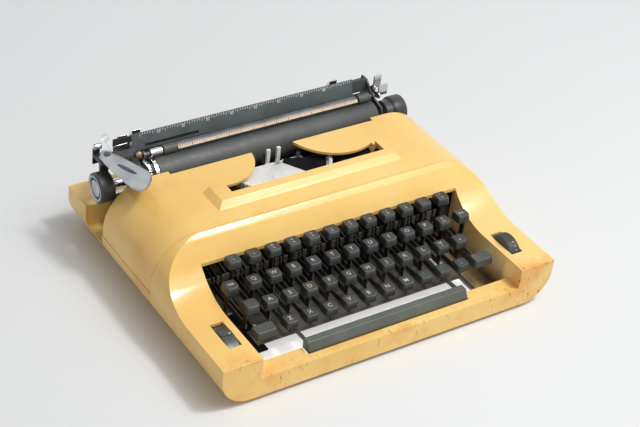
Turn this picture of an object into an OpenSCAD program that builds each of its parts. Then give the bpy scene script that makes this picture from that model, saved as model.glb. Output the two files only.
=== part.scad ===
// Portable manual typewriter in a moulded casing, standing on four rubber feet.
// Units are millimetres. X runs to the right along the platen, Y runs from the
// typist to the back, Z is up, and the origin lies on the table under the middle.

/* [Casing] */
// Width over the side walls
case_w = 329; // [321:1:345]
// Depth from the front rail to the back of the base
case_d = 272; // [266:1:290]
// Height of the flat top of the cover
top_z = 83; // [82:0.5:86]
// Height of the arm rests beside the keyboard
rest_z = 43; // [41:0.5:45]
// Height of the front rail
rail_z = 23.5; // [20:0.5:25]
// Depth of the front rail
rail_d = 17; // [16.5:0.5:18]
// Height of the casing underside above the table
base_z = 4; // [3:0.25:5]
// Wall thickness of the moulded shells
wall = 2.5; // [2:0.1:2.8]
// Radius of the upper shoulders
shoulder_r = 43; // [38:0.5:44]
// Radius of the lower side corners
corner_r = 28; // [22:0.5:29]
// Height of the side seam between base and cover
seam_z = 33; // [32.5:0.5:35]
// Depth of the front shell from the front rail to the seam
front_d = 120; // [118:0.5:121]
// Width of the arm rests beside the keyboard
arm_rest_w = 36; // [34:0.25:36.5]
// Depth from the front rail to the panel lip above the keys
lip_d = 102; // [101.5:0.25:103]
// Height of the lower edge of the panel lip
lip_z = 61; // [59:0.5:62]
// Fillet radius of the cove between panel and arm rests
cove_r = 60; // [52:0.5:62]
// Height of the box at the back of the base
rear_box_z = 43; // [40:0.5:44]
// Depth of the box at the back of the base
rear_box_d = 34; // [32:0.5:36]
// Height of the floor of the well under the carriage
well_z = 22; // [18:0.5:24]
// Width of the sill along the keyboard opening
sill_w = 16; // [10:0.5:18]

/* [Cover] */
// Rear edge of the cover beside the platen
cover_rear_y = 69.5; // [68.5:0.1:69.6]
// Rear edge of the cover along the platen
cover_edge_y = 65; // [63:0.5:66]
// Half length of the set back rear edge
cover_edge_half_w = 104; // [98:0.5:108]
// Height of the raised plateau above the cover
plateau_h = 5; // [3:0.25:5.5]
// Half width of the plateau top
plateau_half_w = 87; // [86:0.5:90]
// Front edge of the plateau top
plateau_front_y = 7; // [5:0.5:9]
// Rear edge of the plateau top
plateau_rear_y = 29.5; // [26:0.5:30]
// Outward draft of the plateau sides
plateau_draft = 9; // [5:0.5:10]
// Left end of the type opening
opening_left_x = -73; // [-80:0.5:-70]
// Right end of the type opening
opening_right_x = 82; // [78:0.5:84]
// Front edge of the type opening
opening_front_y = 15; // [13:0.5:18]
// Radius of the left lobe over the ribbon spool
lobe_r = 39.5; // [37:0.25:40]

/* [Keyboard] */
// Share of the keyboard opening that one key pitch takes
pitch_share = 0.0741; // [0.073:0.0001:0.0745]
// Width of a key cap at its foot
cap_w = 12.2; // [11.6:0.1:13.4]
// Width of a key cap at its top
cap_top_w = 11; // [10:0.1:11.5]
// Height of a key cap
cap_h = 7.6; // [6.8:0.1:8.6]
// Depth of the dish in a key cap
cap_dish = 0.9; // [0.5:0.1:1.4]
// Thickness of a key lever
lever_t = 1.2; // [0.8:0.05:1.3]
// Depth of the key lever strips
lever_w = 5; // [4:0.25:5.5]
// Width of the wide shift key caps
shift_cap_w = 19.5; // [17:0.5:21]
// Length of the space bar
space_bar_l = 159; // [150:0.5:160]
// Radius of the rod that the key levers turn on
pivot_r = 2.5; // [2:0.1:3]

/* [Carriage] */
// Radius of the platen
platen_r = 16; // [14:0.25:16]
// Left end of the platen
platen_left_x = -113; // [-114:0.5:-100]
// Right end of the platen
platen_right_x = 117; // [100:0.5:117]
// Radius of the platen shaft
shaft_r = 4; // [3:0.25:5]
// Radius of the platen knobs
knob_r = 13.5; // [11:0.25:13.7]
// Length of the platen knobs
knob_l = 13.5; // [10:0.25:15]
// Half distance between the outer faces of the carriage end plates
end_plate_x = 124; // [123:0.5:126]
// Thickness of the carriage sheet metal
sheet_t = 2; // [1.5:0.1:2.2]
// Radius of the paper feed rollers
feed_r = 4.5; // [3.5:0.1:4.6]
// Radius of the rubber rollers on the paper bail
bail_roller_r = 4.2; // [3.6:0.1:4.4]
// Left end of the paper table
table_left_x = -121; // [-121.5:0.5:-100]
// Right end of the paper table
table_right_x = 106; // [90:0.5:108]
// Side of the square carriage rails
rail_side = 5; // [4:0.1:5.2]

/* [Mechanism] */
// Number of type bars in the fan
bar_count = 44; // [30:1:46]
// Half angle of the type bar fan
fan_half_angle = 70; // [60:1:72]
// Radius that the type bars reach
fan_r = 52; // [46:0.5:53]
// Radius of the ribbon spools
spool_r = 18.5; // [15:0.25:18.8]
// Radius of the touch selector wheel in the right arm rest
wheel_r = 16.5; // [14:0.25:17]
// Radius of the rounded top of the colour selector in the left arm rest
rocker_r = 26; // [24:0.5:28]
// Width of both selectors
wheel_w = 11; // [9:0.25:12]
// Radius of the mainspring drum
drum_r = 16; // [12:0.5:18]
// Radius of the rubber feet
foot_r = 8; // [6.5:0.25:8]

/* [Fits] */
// Radial clearance of a running fit
run = 0.05; // [0.02:0.01:0.09]
// Gap between pieces that pass each other
gap = 0.4; // [0.3:0.05:0.5]

/* [Hidden] */
$fn = 48;

// Casing outline
half_w = case_w / 2;
front_y = -case_d / 2;
rear_y = case_d / 2;
seam_y = front_y + front_d;
lip_y = front_y + lip_d;
board_half_w = half_w - arm_rest_w;
key_pitch = 2 * board_half_w * pitch_share;
floor_z = base_z + wall;
skin = wall * 1.25;
bevel_y = seam_y - 6;
bevel_z = top_z - 3;
panel_run = 0.75;
panel_foot_y = bevel_y - (bevel_z - rest_z) * panel_run;
panel_angle = atan(1 / panel_run);
cove_reach = cove_r * tan(panel_angle / 2);
cove_y = panel_foot_y - cove_reach;
sill_x = board_half_w - sill_w;
rail_rear_y = front_y + rail_d;
notch_y = front_y + 7.8;
box_y = rear_y - rear_box_d;
well_y = cover_rear_y + 1.2;
above = 200;

// Cover, lifted off along two pegs
peg_x = half_w - 49;
peg_y = 64.5;
peg_r = 2;
peg_top_z = top_z - 5;
peg_post_t = 5;
peg_post_d = 6.4;
socket_r = 4;
socket_z = peg_top_z - 18;
lobe_left = [-63.5, 70];
lobe_right = [62, 75];
lobe_right_r = lobe_r + 5.5;

// Feet and screws
foot_x = half_w - 40.5;
foot_front_y = front_y + 24;
foot_rear_y = rear_y - rear_box_d / 2;
screw_x = half_w - 33.5;
screw_ys = [seam_y + 7, 50];
screw_r = 1.5;
screw_hole_r = screw_r + 2 * run;
screw_head_r = 3.5;
screw_head_h = 1.6;

// Chassis
plate_x = half_w - 25.5;
plate_t = 2;
pivot_y = 25;
pivot_z = 42;
seat_z = 46.5;
rail_ys = [75.5, 97.5];
cross_y = [54, 64];
cross_z = [30, 34];
deck_z = [44, 46];
deck_y = [36, 52];

// Keys: place of the first key, and height of the key tops, row by row from the back
row_step = 19.06;
row_x = key_pitch * [-5.5, -5.025, -4.773, -4.331];
row_y = [for (r = [3 : -1 : 0]) front_y + 35 + r * row_step];
row_top = [70, 60, 51.3, 42];
row_count = [12, 11, 11, 10];
row2_names = ["key_q", "key_w", "key_e", "key_r", "key_t", "key_y", "key_u", "key_i", "key_o", "key_p",
    "key_upper_end"];
row3_names = ["key_a", "key_s", "key_d", "key_f", "key_g", "key_h", "key_j", "key_k", "key_l",
    "key_home_10", "key_home_11"];
knee_y = seam_y - 2;
knee_z = 33;
lever_z = 31;
boss_r = 5;
// Special keys: cap centre, cap top and lever place
outer_top = row_top[1] + 1;
lock_top = row_top[2] + 1.7;
shift_top = row_top[3] - 1;
tab_key = [11 - board_half_w, row_y[1], outer_top, 8.5 - board_half_w];
margin_key = [board_half_w - 14, row_y[1], outer_top, board_half_w - 10.5];
lock_key = [19.4 - board_half_w, row_y[2], lock_top, 15.5 - board_half_w];
shift_left = [21.8 - board_half_w, row_y[3], shift_top, 19 - board_half_w];
shift_right = [board_half_w - 17.1, row_y[3], shift_top, board_half_w - 16];
shift_tab = 6;
shift_rod_y = seam_y + 11;
shift_rod_z = 22;
shift_rod_r = 2;
space_arm_x = key_pitch * [-3.895, 4.105];
space_elbow = [front_y + 56, 23];
space_y = [notch_y + 0.6, front_y + 18.5];
space_z = [22, 32];
comb_y = lip_y + 6;
comb_t = 1.5;
comb_z = [8, 40];
comb_slot_z = 20;
comb_slot = lever_t + 0.6;
guard_z = 11;
guard_front_y = front_y + 64;
guard_half_w = board_half_w - 36.5;
row_levers = [for (r = [0 : 3]) for (i = [0 : row_count[r] - 1]) row_x[r] + i * key_pitch];
all_levers = concat(row_levers, space_arm_x,
    [tab_key[3], margin_key[3], lock_key[3], shift_left[3], shift_right[3]]);

// Selectors in the arm rests
wheel_x = half_w - 23.75;
wheel_y = front_y + 38;
wheel_rise = 7;
wheel_z = rest_z + wheel_rise - wheel_r;
rocker_rise = 1.5;
rocker_z = rest_z + rocker_rise - rocker_r;
rocker_chord = 0.62 * rocker_r;
wheel_pin_r = 2;
slot_half_l = sqrt(pow(wheel_r, 2) - pow(wheel_r - wheel_rise - skin, 2)) + gap;
lug_t = 2.5;

// Type basket, centred on the printing point
basket = [-4, 60];
segment_r = 29;
segment_bore_r = 18;
segment_z = [48, 70];
rod_x = 24;
rod_y = -3;
guide_rod_r = 2;
bar_t = 0.8;
slug_w = 2;
guide_w = 3.5;
guide_top_z = 84;
vibrator_z = [50, 80];
vibrator_slot_z = 60;
bar_h = 3;
slug_h = 4;
vibrator_y = basket[1] + 2.5 + gap;
spool_x = 70;
spool_y = 44;
spool_z = [62, 74];
spool_post_r = 3;
drum_place = [64.5 - half_w, 48];
drum_z = [10, 22];

// Carriage
platen_y = 86;
platen_z = top_z - 11;
bed_z = seat_z + rail_side + 0.3;
bed_y = [rail_ys[0] - gap - 1.6, rail_ys[1] + rail_side + gap + 1.6];
lip_drop = 4;
plate_in_x = end_plate_x - sheet_t;
feed_angle = -35;
feed_y = platen_y + (platen_r + feed_r + gap) * cos(feed_angle);
feed_z = platen_z + (platen_r + feed_r + gap) * sin(feed_angle);
feed_shaft_r = 2;
feed_roller_x = 70;
feed_roller_half_l = 15;
bail_pivot = [98, platen_z + 6];
bail_y = platen_y + 2;
bail_z = platen_z + sqrt(pow(platen_r + bail_roller_r + gap, 2) - 4);
bail_pin_r = 2;
bail_rod_r = 1.5;
bail_sleeve_r = 3.4;
bail_arm_x = plate_in_x - 3.2;
bail_arm_t = 1.5;
bail_roller_x = [24 - end_plate_x, end_plate_x - 23];
bail_roller_l = 13;
table_foot = [101, platen_z + 16];
table_lean = 5;
table_rise = 14.5;
rack_y = [110, 113];
rack_z = [platen_z + 20, platen_z + 25];
stop_w = 8;
stop_in = 6;
stop_left_x = stop_in - end_plate_x;
stop_right_x = end_plate_x - 40;
return_pivot = [-end_plate_x - 26, 93];
return_z = platen_z + 25;
return_t = 1.6;
return_post_r = 3;
return_blade_r = 7;
return_blade = [[-7, 4], [-4.5, -32], [-1.5, -54.5], [7, -57], [16, -46.5], [22.7, -35], [7, 4]];
bracket_z = return_z - 5;
release_rise = 14;
release_pivot = [104, platen_z + release_rise];
release_pin_r = 1.5;
release_pin_l = 6;
tab_t = 1.5;
selector_rise = 8;
selector_pivot = [104, platen_z + selector_rise];
plate_crest_y = [106, 94, 78];
plate_crest_rise = [16, 12];
ratchet_teeth = 30;
ratchet_r = 12;
left_knob_x = -end_plate_x - 40.5;
right_knob_x = end_plate_x + 27;
knob_hub_l = 8;
knob_seat = 3;

key_nodes = concat(["number_row_keys"], row2_names, row3_names, ["bottom_row_keys"]);

// A box given by its limits along each axis
module block(x, y, z) {
    translate([x[0], y[0], z[0]]) cube([x[1] - x[0], y[1] - y[0], z[1] - z[0]]);
}

// Extrudes an outline drawn in X and Z along Y
module along_y(y0, y1) {
    translate([0, y1, 0]) rotate([90, 0, 0]) linear_extrude(y1 - y0) children();
}

// Extrudes an outline drawn in Y and Z along X
module along_x(x0, x1) {
    translate([x0, 0, 0]) rotate([90, 0, 90]) linear_extrude(x1 - x0) children();
}

// A round rod along X
module x_rod(x0, x1, y, z, r) {
    translate([x0, y, z]) rotate([0, 90, 0]) cylinder(r = r, h = x1 - x0);
}

// A straight strip of width w between two points of an outline
module strip(a, b, w) {
    d = (b - a) / norm(b - a);
    n = [-d[1], d[0]] * w / 2;
    polygon([a + n, a - n, b - n, b + n]);
}

// The casing's front view, drawn in X and Z
module casing_section(inset = 0) {
    w = half_w - inset;
    low = base_z + inset;
    high = top_z - inset;
    top_r = shoulder_r - inset;
    low_r = corner_r - inset;
    translate([-w, low + low_r]) square([2 * w, high - top_r - low - low_r]);
    translate([-(w - top_r), high - top_r]) square([2 * (w - top_r), top_r]);
    translate([-(w - low_r), low]) square([2 * (w - low_r), low_r]);
    for (s = [0, 1]) mirror([s, 0]) {
        intersection() {
            translate([w - top_r, high - top_r]) circle(r = top_r);
            translate([w - top_r, high - top_r]) square(top_r);
        }
        intersection() {
            translate([w - low_r, low + low_r]) circle(r = low_r);
            translate([w - low_r, low]) square(low_r);
        }
    }
}

// The front shell's side view, drawn in Y and Z
module front_profile(rear) {
    difference() {
        polygon([[rear, base_z - 1], [rear, top_z], [seam_y - 2, top_z], [bevel_y, bevel_z],
            [panel_foot_y + cove_reach * cos(panel_angle), rest_z + cove_reach * sin(panel_angle)],
            [cove_y, rest_z], [front_y - 1, rest_z], [front_y - 1, base_z - 1]]);
        translate([cove_y, rest_z + cove_r]) circle(r = cove_r);
    }
}

// The base tray's side view, drawn in Y and Z
module tray_profile() {
    polygon([[seam_y, base_z - 1], [rear_y, base_z - 1], [rear_y, rear_box_z], [box_y, rear_box_z],
        [box_y, well_z], [well_y, well_z], [well_y, seam_z], [seam_y, seam_z]]);
}

module screw_holes(z) {
    for (s = [-1, 1]) for (y = screw_ys)
        translate([s * screw_x, y, z[0]]) cylinder(r = screw_hole_r, h = z[1] - z[0]);
}

module base_tray() {
    flat = half_w - corner_r;
    color("#eec46a") difference() {
        union() {
            difference() {
                intersection() {
                    along_y(seam_y, rear_y) casing_section();
                    along_x(-half_w, half_w) tray_profile();
                }
                along_y(seam_y - 1, well_y - wall) casing_section(wall);
                intersection() {
                    along_y(well_y, rear_y - wall) casing_section(wall);
                    union() {
                        block([-half_w, half_w], [well_y, rear_y], [0, well_z - wall]);
                        block([-half_w, half_w], [box_y + wall, rear_y], [0, rear_box_z - wall]);
                    }
                }
                block([-flat, flat], [well_y, rear_y - wall], [0, floor_z + 1]);
            }
            for (s = [-1, 1]) translate([s * foot_x, foot_rear_y, base_z])
                cylinder(r = foot_r + 2, h = rear_box_z - base_z - wall / 2);
            translate([drum_place[0], drum_place[1], base_z])
                cylinder(r = spool_post_r, h = drum_z[1] + 1 - base_z);
            translate([drum_place[0], drum_place[1], base_z])
                cylinder(r = 2 * spool_post_r, h = drum_z[0] - gap - base_z);
        }
        screw_holes([0, floor_z + 1]);
    }
}

module wheel_lugs() {
    for (s = [-1, 1]) for (side = [-1, 1]) {
        inner = s * wheel_x + side * (wheel_w / 2 + gap);
        outer = inner + side * lug_t;
        z = s > 0 ? wheel_z : rocker_z;
        difference() {
            block([min(inner, outer), max(inner, outer)], [wheel_y - 5, wheel_y + 5],
                [z - 5, rest_z - skin / 2]);
            x_rod(min(inner, outer) - 1, max(inner, outer) + 1, wheel_y, z, wheel_pin_r + run);
        }
    }
}

module front_shell() {
    inner_x = board_half_w + wall;
    notch_x = [-1, 1] * (space_bar_l / 2 + 1.5);
    hollow_x = board_half_w - 14.5;
    color("#f5cd78") {
        difference() {
            intersection() {
                along_y(front_y, seam_y) casing_section();
                along_x(-half_w, half_w) front_profile(seam_y + 1);
            }
            intersection() {
                along_y(front_y + wall, seam_y + 1) casing_section(wall);
                along_x(-half_w, half_w) translate([0, -skin]) front_profile(seam_y + 2);
                union() {
                    block([-half_w, half_w], [lip_y + wall, seam_y + 1], [0, above]);
                    block([inner_x, half_w], [front_y, lip_y + wall + 1], [0, above]);
                    block([-half_w, -inner_x], [front_y, lip_y + wall + 1], [0, above]);
                }
            }
            block([-board_half_w, board_half_w], [rail_rear_y, lip_y], [floor_z, above]);
            block([-board_half_w, board_half_w], [lip_y - 1, lip_y + wall + 1], [floor_z, lip_z]);
            block([-sill_x, sill_x], [rail_rear_y, lip_y], [0, floor_z + 1]);
            block([-board_half_w, board_half_w], [front_y - 1, rail_rear_y + 1], [rail_z, above]);
            block(notch_x, [notch_y, rail_rear_y + 1], [0, rail_z + 1]);
            block([-hollow_x, hollow_x], [front_y + wall, notch_y - wall], [0, rail_z - wall]);
            for (s = [-1, 1])
                block([s * wheel_x - wheel_w / 2 - gap, s * wheel_x + wheel_w / 2 + gap],
                    [wheel_y - slot_half_l, wheel_y + slot_half_l], [wheel_z, rest_z + 1]);
        }
        wheel_lugs();
    }
}

// Plateau in front of the type opening and at its ends, with drafted sides
module plateau() {
    base_w = plateau_half_w + plateau_draft;
    base_y = plateau_front_y - plateau_draft;
    low = top_z - wall;
    high = top_z + plateau_h;
    intersection() {
        along_y(base_y, plateau_rear_y)
            polygon([[-base_w, low], [base_w, low], [plateau_half_w, high], [-plateau_half_w, high]]);
        along_x(-base_w, base_w)
            polygon([[base_y, low], [plateau_rear_y, low], [plateau_rear_y, high], [plateau_front_y, high]]);
    }
}

module type_opening() {
    difference() {
        translate([opening_left_x, opening_front_y])
            square([opening_right_x - opening_left_x, cover_rear_y + 1 - opening_front_y]);
        translate(lobe_left) circle(r = lobe_r);
        translate(lobe_right) circle(r = lobe_right_r);
    }
}

module top_cover() {
    front = seam_y + gap;
    color("#f5cd78") {
        difference() {
            union() {
                intersection() {
                    along_y(front, cover_rear_y) casing_section();
                    block([-half_w, half_w], [front, cover_rear_y], [seam_z + 2 * gap, top_z]);
                }
                plateau();
            }
            along_y(front - 1, cover_rear_y + 1) casing_section(wall);
            intersection() {
                translate([0, 0, -wall]) plateau();
                block([-plateau_half_w + wall, plateau_half_w - wall],
                    [plateau_front_y + wall, plateau_rear_y - wall], [0, above]);
            }
            translate([0, 0, top_z - 2 * wall]) linear_extrude(above) type_opening();
            block([-cover_edge_half_w, cover_edge_half_w], [cover_edge_y, cover_rear_y + 1],
                [top_z - 2 * wall, above]);
        }
        for (s = [-1, 1]) translate([s * peg_x, peg_y, socket_z]) difference() {
            cylinder(r = socket_r, h = top_z - wall / 2 - socket_z);
            translate([0, 0, -1]) cylinder(r = peg_r + run, h = peg_top_z + 2 - socket_z);
        }
    }
}

module rubber_feet() {
    color("#2b2b2b") for (s = [-1, 1]) for (y = [foot_front_y, foot_rear_y])
        translate([s * foot_x, y, 0]) cylinder(r = foot_r, h = base_z);
}

module casing_screws() {
    color("#b8b8b8") for (s = [-1, 1]) for (y = screw_ys) translate([s * screw_x, y, 0]) {
        translate([0, 0, base_z - screw_head_h]) cylinder(r = screw_head_r, h = screw_head_h);
        translate([0, 0, base_z - 1]) cylinder(r = screw_r, h = wall + 4);
    }
}

// Side plate of the chassis, drawn in Y and Z
module chassis_side() {
    difference() {
        polygon([[comb_y - 8, 8], [58, 8], [66, seam_z + 3], [box_y - 1, seam_z + 3], [box_y - 1, seat_z - 2],
            [104, seat_z - 2], [104, seat_z], [36, seat_z], [pivot_y + 8, pivot_z + 8],
            [pivot_y - 8, pivot_z + 8], [comb_y - 8, 40]]);
        translate([pivot_y, pivot_z]) circle(r = pivot_r + run);
    }
}

module chassis_frame() {
    color("#55585a") difference() {
        union() {
            for (s = [-1, 1]) {
                along_x(s * (plate_x + plate_t / 2) - plate_t / 2, s * (plate_x + plate_t / 2) + plate_t / 2)
                    chassis_side();
                deck = [s * (plate_x + 1), basket[0] + s * 54];
                block([min(deck), max(deck)], deck_y, deck_z);
                translate([basket[0] + s * spool_x, spool_y, deck_z[0]])
                    cylinder(r = spool_post_r, h = spool_z[1] + 2 - deck_z[0]);
                translate([basket[0] + s * spool_x, spool_y, deck_z[0]])
                    cylinder(r = spool_post_r + 2, h = spool_z[0] - gap - deck_z[0]);
                translate([basket[0] + s * rod_x, basket[1] + rod_y, cross_z[0]])
                    cylinder(r = guide_rod_r, h = segment_z[1] + 6 - cross_z[0]);
                block([s * peg_x - peg_post_t / 2, s * peg_x + peg_post_t / 2],
                    [peg_y - peg_post_d / 2, peg_y + peg_post_d / 2], [cross_z[0], socket_z - 1]);
                translate([s * peg_x, peg_y, cross_z[1]]) cylinder(r = peg_r, h = peg_top_z - cross_z[1]);
                for (y = screw_ys) {
                    foot = [s * (screw_x - 5), s * (screw_x + 4)];
                    bridge = [s * (screw_x - 5), s * (plate_x + 1)];
                    block([min(foot), max(foot)], [y - 5, y + 5], [floor_z, 10]);
                    block([min(bridge), max(bridge)], [y - 5, y + 5], [8, 10]);
                }
            }
            block([-plate_x - 1, plate_x + 1], cross_y, cross_z);
        }
        screw_holes([floor_z - 1, 11]);
    }
}

module carriage_rails() {
    reach = plate_x + plate_t + 8;
    color("#9a9c9e") for (y = rail_ys)
        block([-reach, reach], [y, y + rail_side], [seat_z, seat_z + rail_side]);
}

module key_pivot_rod() {
    reach = plate_x + plate_t;
    color("#9a9c9e") x_rod(-reach, reach, pivot_y, pivot_z, pivot_r);
}

module key_comb() {
    color("#a09a90") difference() {
        union() {
            block([-plate_x, plate_x], [comb_y, comb_y + comb_t], comb_z);
            block([-guard_half_w, guard_half_w], [guard_front_y, comb_y + comb_t], [guard_z, guard_z + 1.5]);
        }
        for (x = all_levers)
            block([x - comb_slot / 2, x + comb_slot / 2], [comb_y - 1, comb_y + comb_t + 1],
                [comb_slot_z, above]);
    }
}

// Moulded key cap with a dished top
module key_cap(x, y, top, w) {
    taper = (cap_w - cap_top_w) / 2;
    low = top - cap_h;
    dish_r = (pow(w / 2, 2) + pow(cap_dish, 2)) / (2 * cap_dish);
    difference() {
        intersection() {
            along_y(y - cap_w / 2, y + cap_w / 2)
                polygon([[x - w / 2, low], [x + w / 2, low], [x + w / 2 - taper, top],
                    [x - w / 2 + taper, top]]);
            along_x(x - w / 2, x + w / 2)
                polygon([[y - cap_w / 2, low], [y + cap_w / 2, low], [y + cap_w / 2 - taper, top],
                    [y - cap_w / 2 + taper, top]]);
        }
        translate([x, y, top - cap_dish + dish_r]) rotate([90, 0, 0])
            cylinder(r = dish_r, h = 2 * cap_w, center = true, $fn = 96);
    }
}

// Sheet metal key lever from the pivot rod to the foot of a key
module key_lever(x, y, rise) {
    along_x(x - lever_t / 2, x + lever_t / 2) difference() {
        union() {
            translate([pivot_y, pivot_z]) circle(r = boss_r);
            strip([pivot_y, pivot_z], [knee_y, knee_z], lever_w);
            translate([knee_y, knee_z]) circle(r = lever_w / 2);
            strip([knee_y, knee_z], [y, lever_z], lever_w);
            translate([y - lever_w / 2, lever_z - lever_w / 2])
                square([lever_w, rise - lever_z + lever_w / 2]);
            children();
        }
        translate([pivot_y, pivot_z]) circle(r = pivot_r + run);
    }
}

module key(x, y, top, w, lever_x) {
    key_cap(x, y, top, w);
    key_lever(lever_x, y, top - cap_h + 2) children();
}

module row_key(r, i) {
    x = row_x[r] + i * key_pitch;
    color("#3c403e") key(x, row_y[r], row_top[r], cap_w, x);
}

module key_row(r) {
    for (i = [0 : row_count[r] - 1]) row_key(r, i);
}

module special_key(k, w) {
    color("#3c403e") key(k[0], k[1], k[2], w, k[3]);
}

module shift_keys() {
    color("#3c403e") {
        for (k = [shift_left, shift_right]) key(k[0], k[1], k[2], shift_cap_w, k[3])
            strip([shift_rod_y, shift_rod_z], [shift_rod_y, pivot_z - shift_tab], lever_w);
        x_rod(shift_left[3], shift_right[3], shift_rod_y, shift_rod_z, shift_rod_r);
    }
}

module space_bar() {
    half_l = space_bar_l / 2;
    color("#6a7470") {
        along_x(-half_l, half_l) polygon([[space_y[1], space_z[0]], [space_y[1], space_z[1]],
            [space_y[1] - 6.6, space_z[1]], [space_y[0], space_z[0] + 4], [space_y[0], space_z[0]]]);
        for (i = [0, 1]) {
            x = space_arm_x[i];
            stub = [x, (i == 0 ? -1 : 1) * (half_l - 1)];
            along_x(x - lever_t / 2, x + lever_t / 2) difference() {
                union() {
                    translate([pivot_y, pivot_z]) circle(r = boss_r);
                    strip([pivot_y, pivot_z], [knee_y, knee_z], lever_w);
                    translate([knee_y, knee_z]) circle(r = lever_w / 2);
                    strip([knee_y, knee_z], space_elbow, lever_w);
                    translate(space_elbow) circle(r = lever_w / 2);
                    strip(space_elbow, [space_y[1] - 4, space_z[0] + 3], lever_w);
                }
                translate([pivot_y, pivot_z]) circle(r = pivot_r + run);
            }
            block([min(stub) - lever_t / 2, max(stub) + lever_t / 2], [space_y[1] - 5, space_y[1] - 1],
                [space_z[0] + 1, space_z[0] + 5]);
        }
    }
}

module touch_selector() {
    x = wheel_x;
    pin = wheel_w / 2 + gap + lug_t - 0.5;
    color("#3c403e") {
        x_rod(x - wheel_w / 2, x + wheel_w / 2, wheel_y, wheel_z, wheel_r);
        x_rod(x - pin, x + pin, wheel_y, wheel_z, wheel_pin_r);
    }
}

// Rocking selector with a broad rounded top, nearly level with the arm rest
module colour_selector() {
    x = -wheel_x;
    pin = wheel_w / 2 + gap + lug_t - 0.5;
    hub = [wheel_y, rocker_z];
    color("#3c403e") {
        along_x(x - wheel_w / 2, x + wheel_w / 2) {
            intersection() {
                translate(hub) circle(r = rocker_r, $fn = 96);
                translate(hub + [-rocker_r, rocker_chord]) square([2 * rocker_r, rocker_r]);
            }
            strip(hub, hub + [0, rocker_chord + 2], 9);
            translate(hub) circle(r = 5);
        }
        x_rod(x - pin, x + pin, wheel_y, rocker_z, wheel_pin_r);
    }
}

module type_segment() {
    color("#c8cacc") {
        difference() {
            translate([basket[0], basket[1], segment_z[0]])
                cylinder(r = segment_r, h = segment_z[1] - segment_z[0]);
            translate([basket[0], basket[1], segment_z[0] - 1])
                cylinder(r = segment_bore_r, h = segment_z[1] - segment_z[0] + 2);
            block([-above, above], [basket[1], above], [0, above]);
            for (s = [-1, 1]) translate([basket[0] + s * rod_x, basket[1] + rod_y, 0])
                cylinder(r = guide_rod_r + run, h = above);
        }
        block([basket[0] - segment_r, basket[0] + segment_r], [basket[1], basket[1] + 2.5],
            [segment_z[0], segment_z[1] - 2]);
        for (s = [-1, 1]) {
            post = [basket[0] + s * guide_w, basket[0] + 2 * s * guide_w];
            block([min(post), max(post)], [basket[1], basket[1] + 2.5], [segment_z[0], guide_top_z]);
        }
    }
}

// Type bars lying on the segment
module type_bars() {
    bar_z = [segment_z[1], segment_z[1] + bar_h];
    color("#d8d8d4") for (i = [0 : bar_count - 1])
        translate([basket[0], basket[1], 0])
            rotate([0, 0, -fan_half_angle + 2 * fan_half_angle * i / (bar_count - 1)]) {
                block([-bar_t / 2, bar_t / 2], [-fan_r + 1, -segment_bore_r - 1.5], bar_z);
                block([-slug_w / 2, slug_w / 2], [-fan_r, -fan_r + 3], [bar_z[0], bar_z[1] + slug_h]);
            }
}

module ribbon_vibrator() {
    half = 9;
    color("#e8e8e4") difference() {
        block([basket[0] - half, basket[0] + half], [vibrator_y, vibrator_y + 1.2], vibrator_z);
        block([basket[0] - 4, basket[0] + 4], [vibrator_y - 1, vibrator_y + 2], [vibrator_slot_z, above]);
    }
}

module ribbon_spool(s) {
    color("#2f3030") translate([basket[0] + s * spool_x, spool_y, 0]) difference() {
        union() {
            translate([0, 0, spool_z[0]]) cylinder(r = spool_r, h = 1);
            translate([0, 0, spool_z[0]]) cylinder(r = spool_r * 0.8, h = spool_z[1] - spool_z[0]);
            translate([0, 0, spool_z[1] - 1]) cylinder(r = spool_r, h = 1);
        }
        cylinder(r = spool_post_r + run, h = above);
    }
}

module mainspring_drum() {
    color("#8a8c8e") translate([drum_place[0], drum_place[1], 0]) difference() {
        union() {
            translate([0, 0, drum_z[0]]) cylinder(r = drum_r, h = drum_z[1] - drum_z[0]);
            translate([0, 0, drum_z[0]]) cylinder(r = drum_r + 2, h = 1.2);
        }
        cylinder(r = spool_post_r + run, h = above);
    }
}

// End plate of the carriage, drawn in Y and Z
module end_plate() {
    difference() {
        polygon([[bed_y[0] + 0.5, bed_z], [bed_y[1] + 4, bed_z], [rack_y[1] + 1, rack_z[0] - 2],
            [rack_y[1] + 1, rack_z[1] + 2], [plate_crest_y[0], rack_z[1] + 2],
            [plate_crest_y[1], platen_z + plate_crest_rise[0]],
            [plate_crest_y[2], platen_z + plate_crest_rise[1]], [bed_y[0], platen_z]]);
        translate([platen_y, platen_z]) circle(r = shaft_r + run);
        translate([feed_y, feed_z]) circle(r = feed_shaft_r + run);
    }
}

module carriage_frame() {
    color("#4a4d4f") {
        block([-end_plate_x, end_plate_x], bed_y, [bed_z, bed_z + sheet_t]);
        block([-end_plate_x, end_plate_x], [bed_y[0], bed_y[0] + 1.6], [bed_z - lip_drop, bed_z + 1]);
        block([-end_plate_x, end_plate_x], [bed_y[1] - 1.6, bed_y[1]], [bed_z - lip_drop, bed_z + 1]);
        for (s = [-1, 1]) {
            plate = [s * plate_in_x, s * end_plate_x];
            bail_pin = [s * (bail_arm_x - bail_arm_t), s * end_plate_x];
            release_pin = [s * plate_in_x, s * (end_plate_x + release_pin_l)];
            pivot = s > 0 ? release_pivot : selector_pivot;
            along_x(min(plate), max(plate)) end_plate();
            x_rod(min(bail_pin), max(bail_pin), bail_pivot[0], bail_pivot[1], bail_pin_r);
            x_rod(min(release_pin), max(release_pin), pivot[0], pivot[1], release_pin_r);
        }
        block([-end_plate_x, end_plate_x], rack_y, rack_z);
        block([-end_plate_x, -plate_in_x], [88, 104], [platen_z + 10, bracket_z + 3]);
        block([return_pivot[0] - 8, -plate_in_x], [88, 98], [bracket_z, bracket_z + 3]);
        translate([return_pivot[0], return_pivot[1], bracket_z])
            cylinder(r = return_post_r, h = return_z + return_t + 1 - bracket_z);
    }
}

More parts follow.
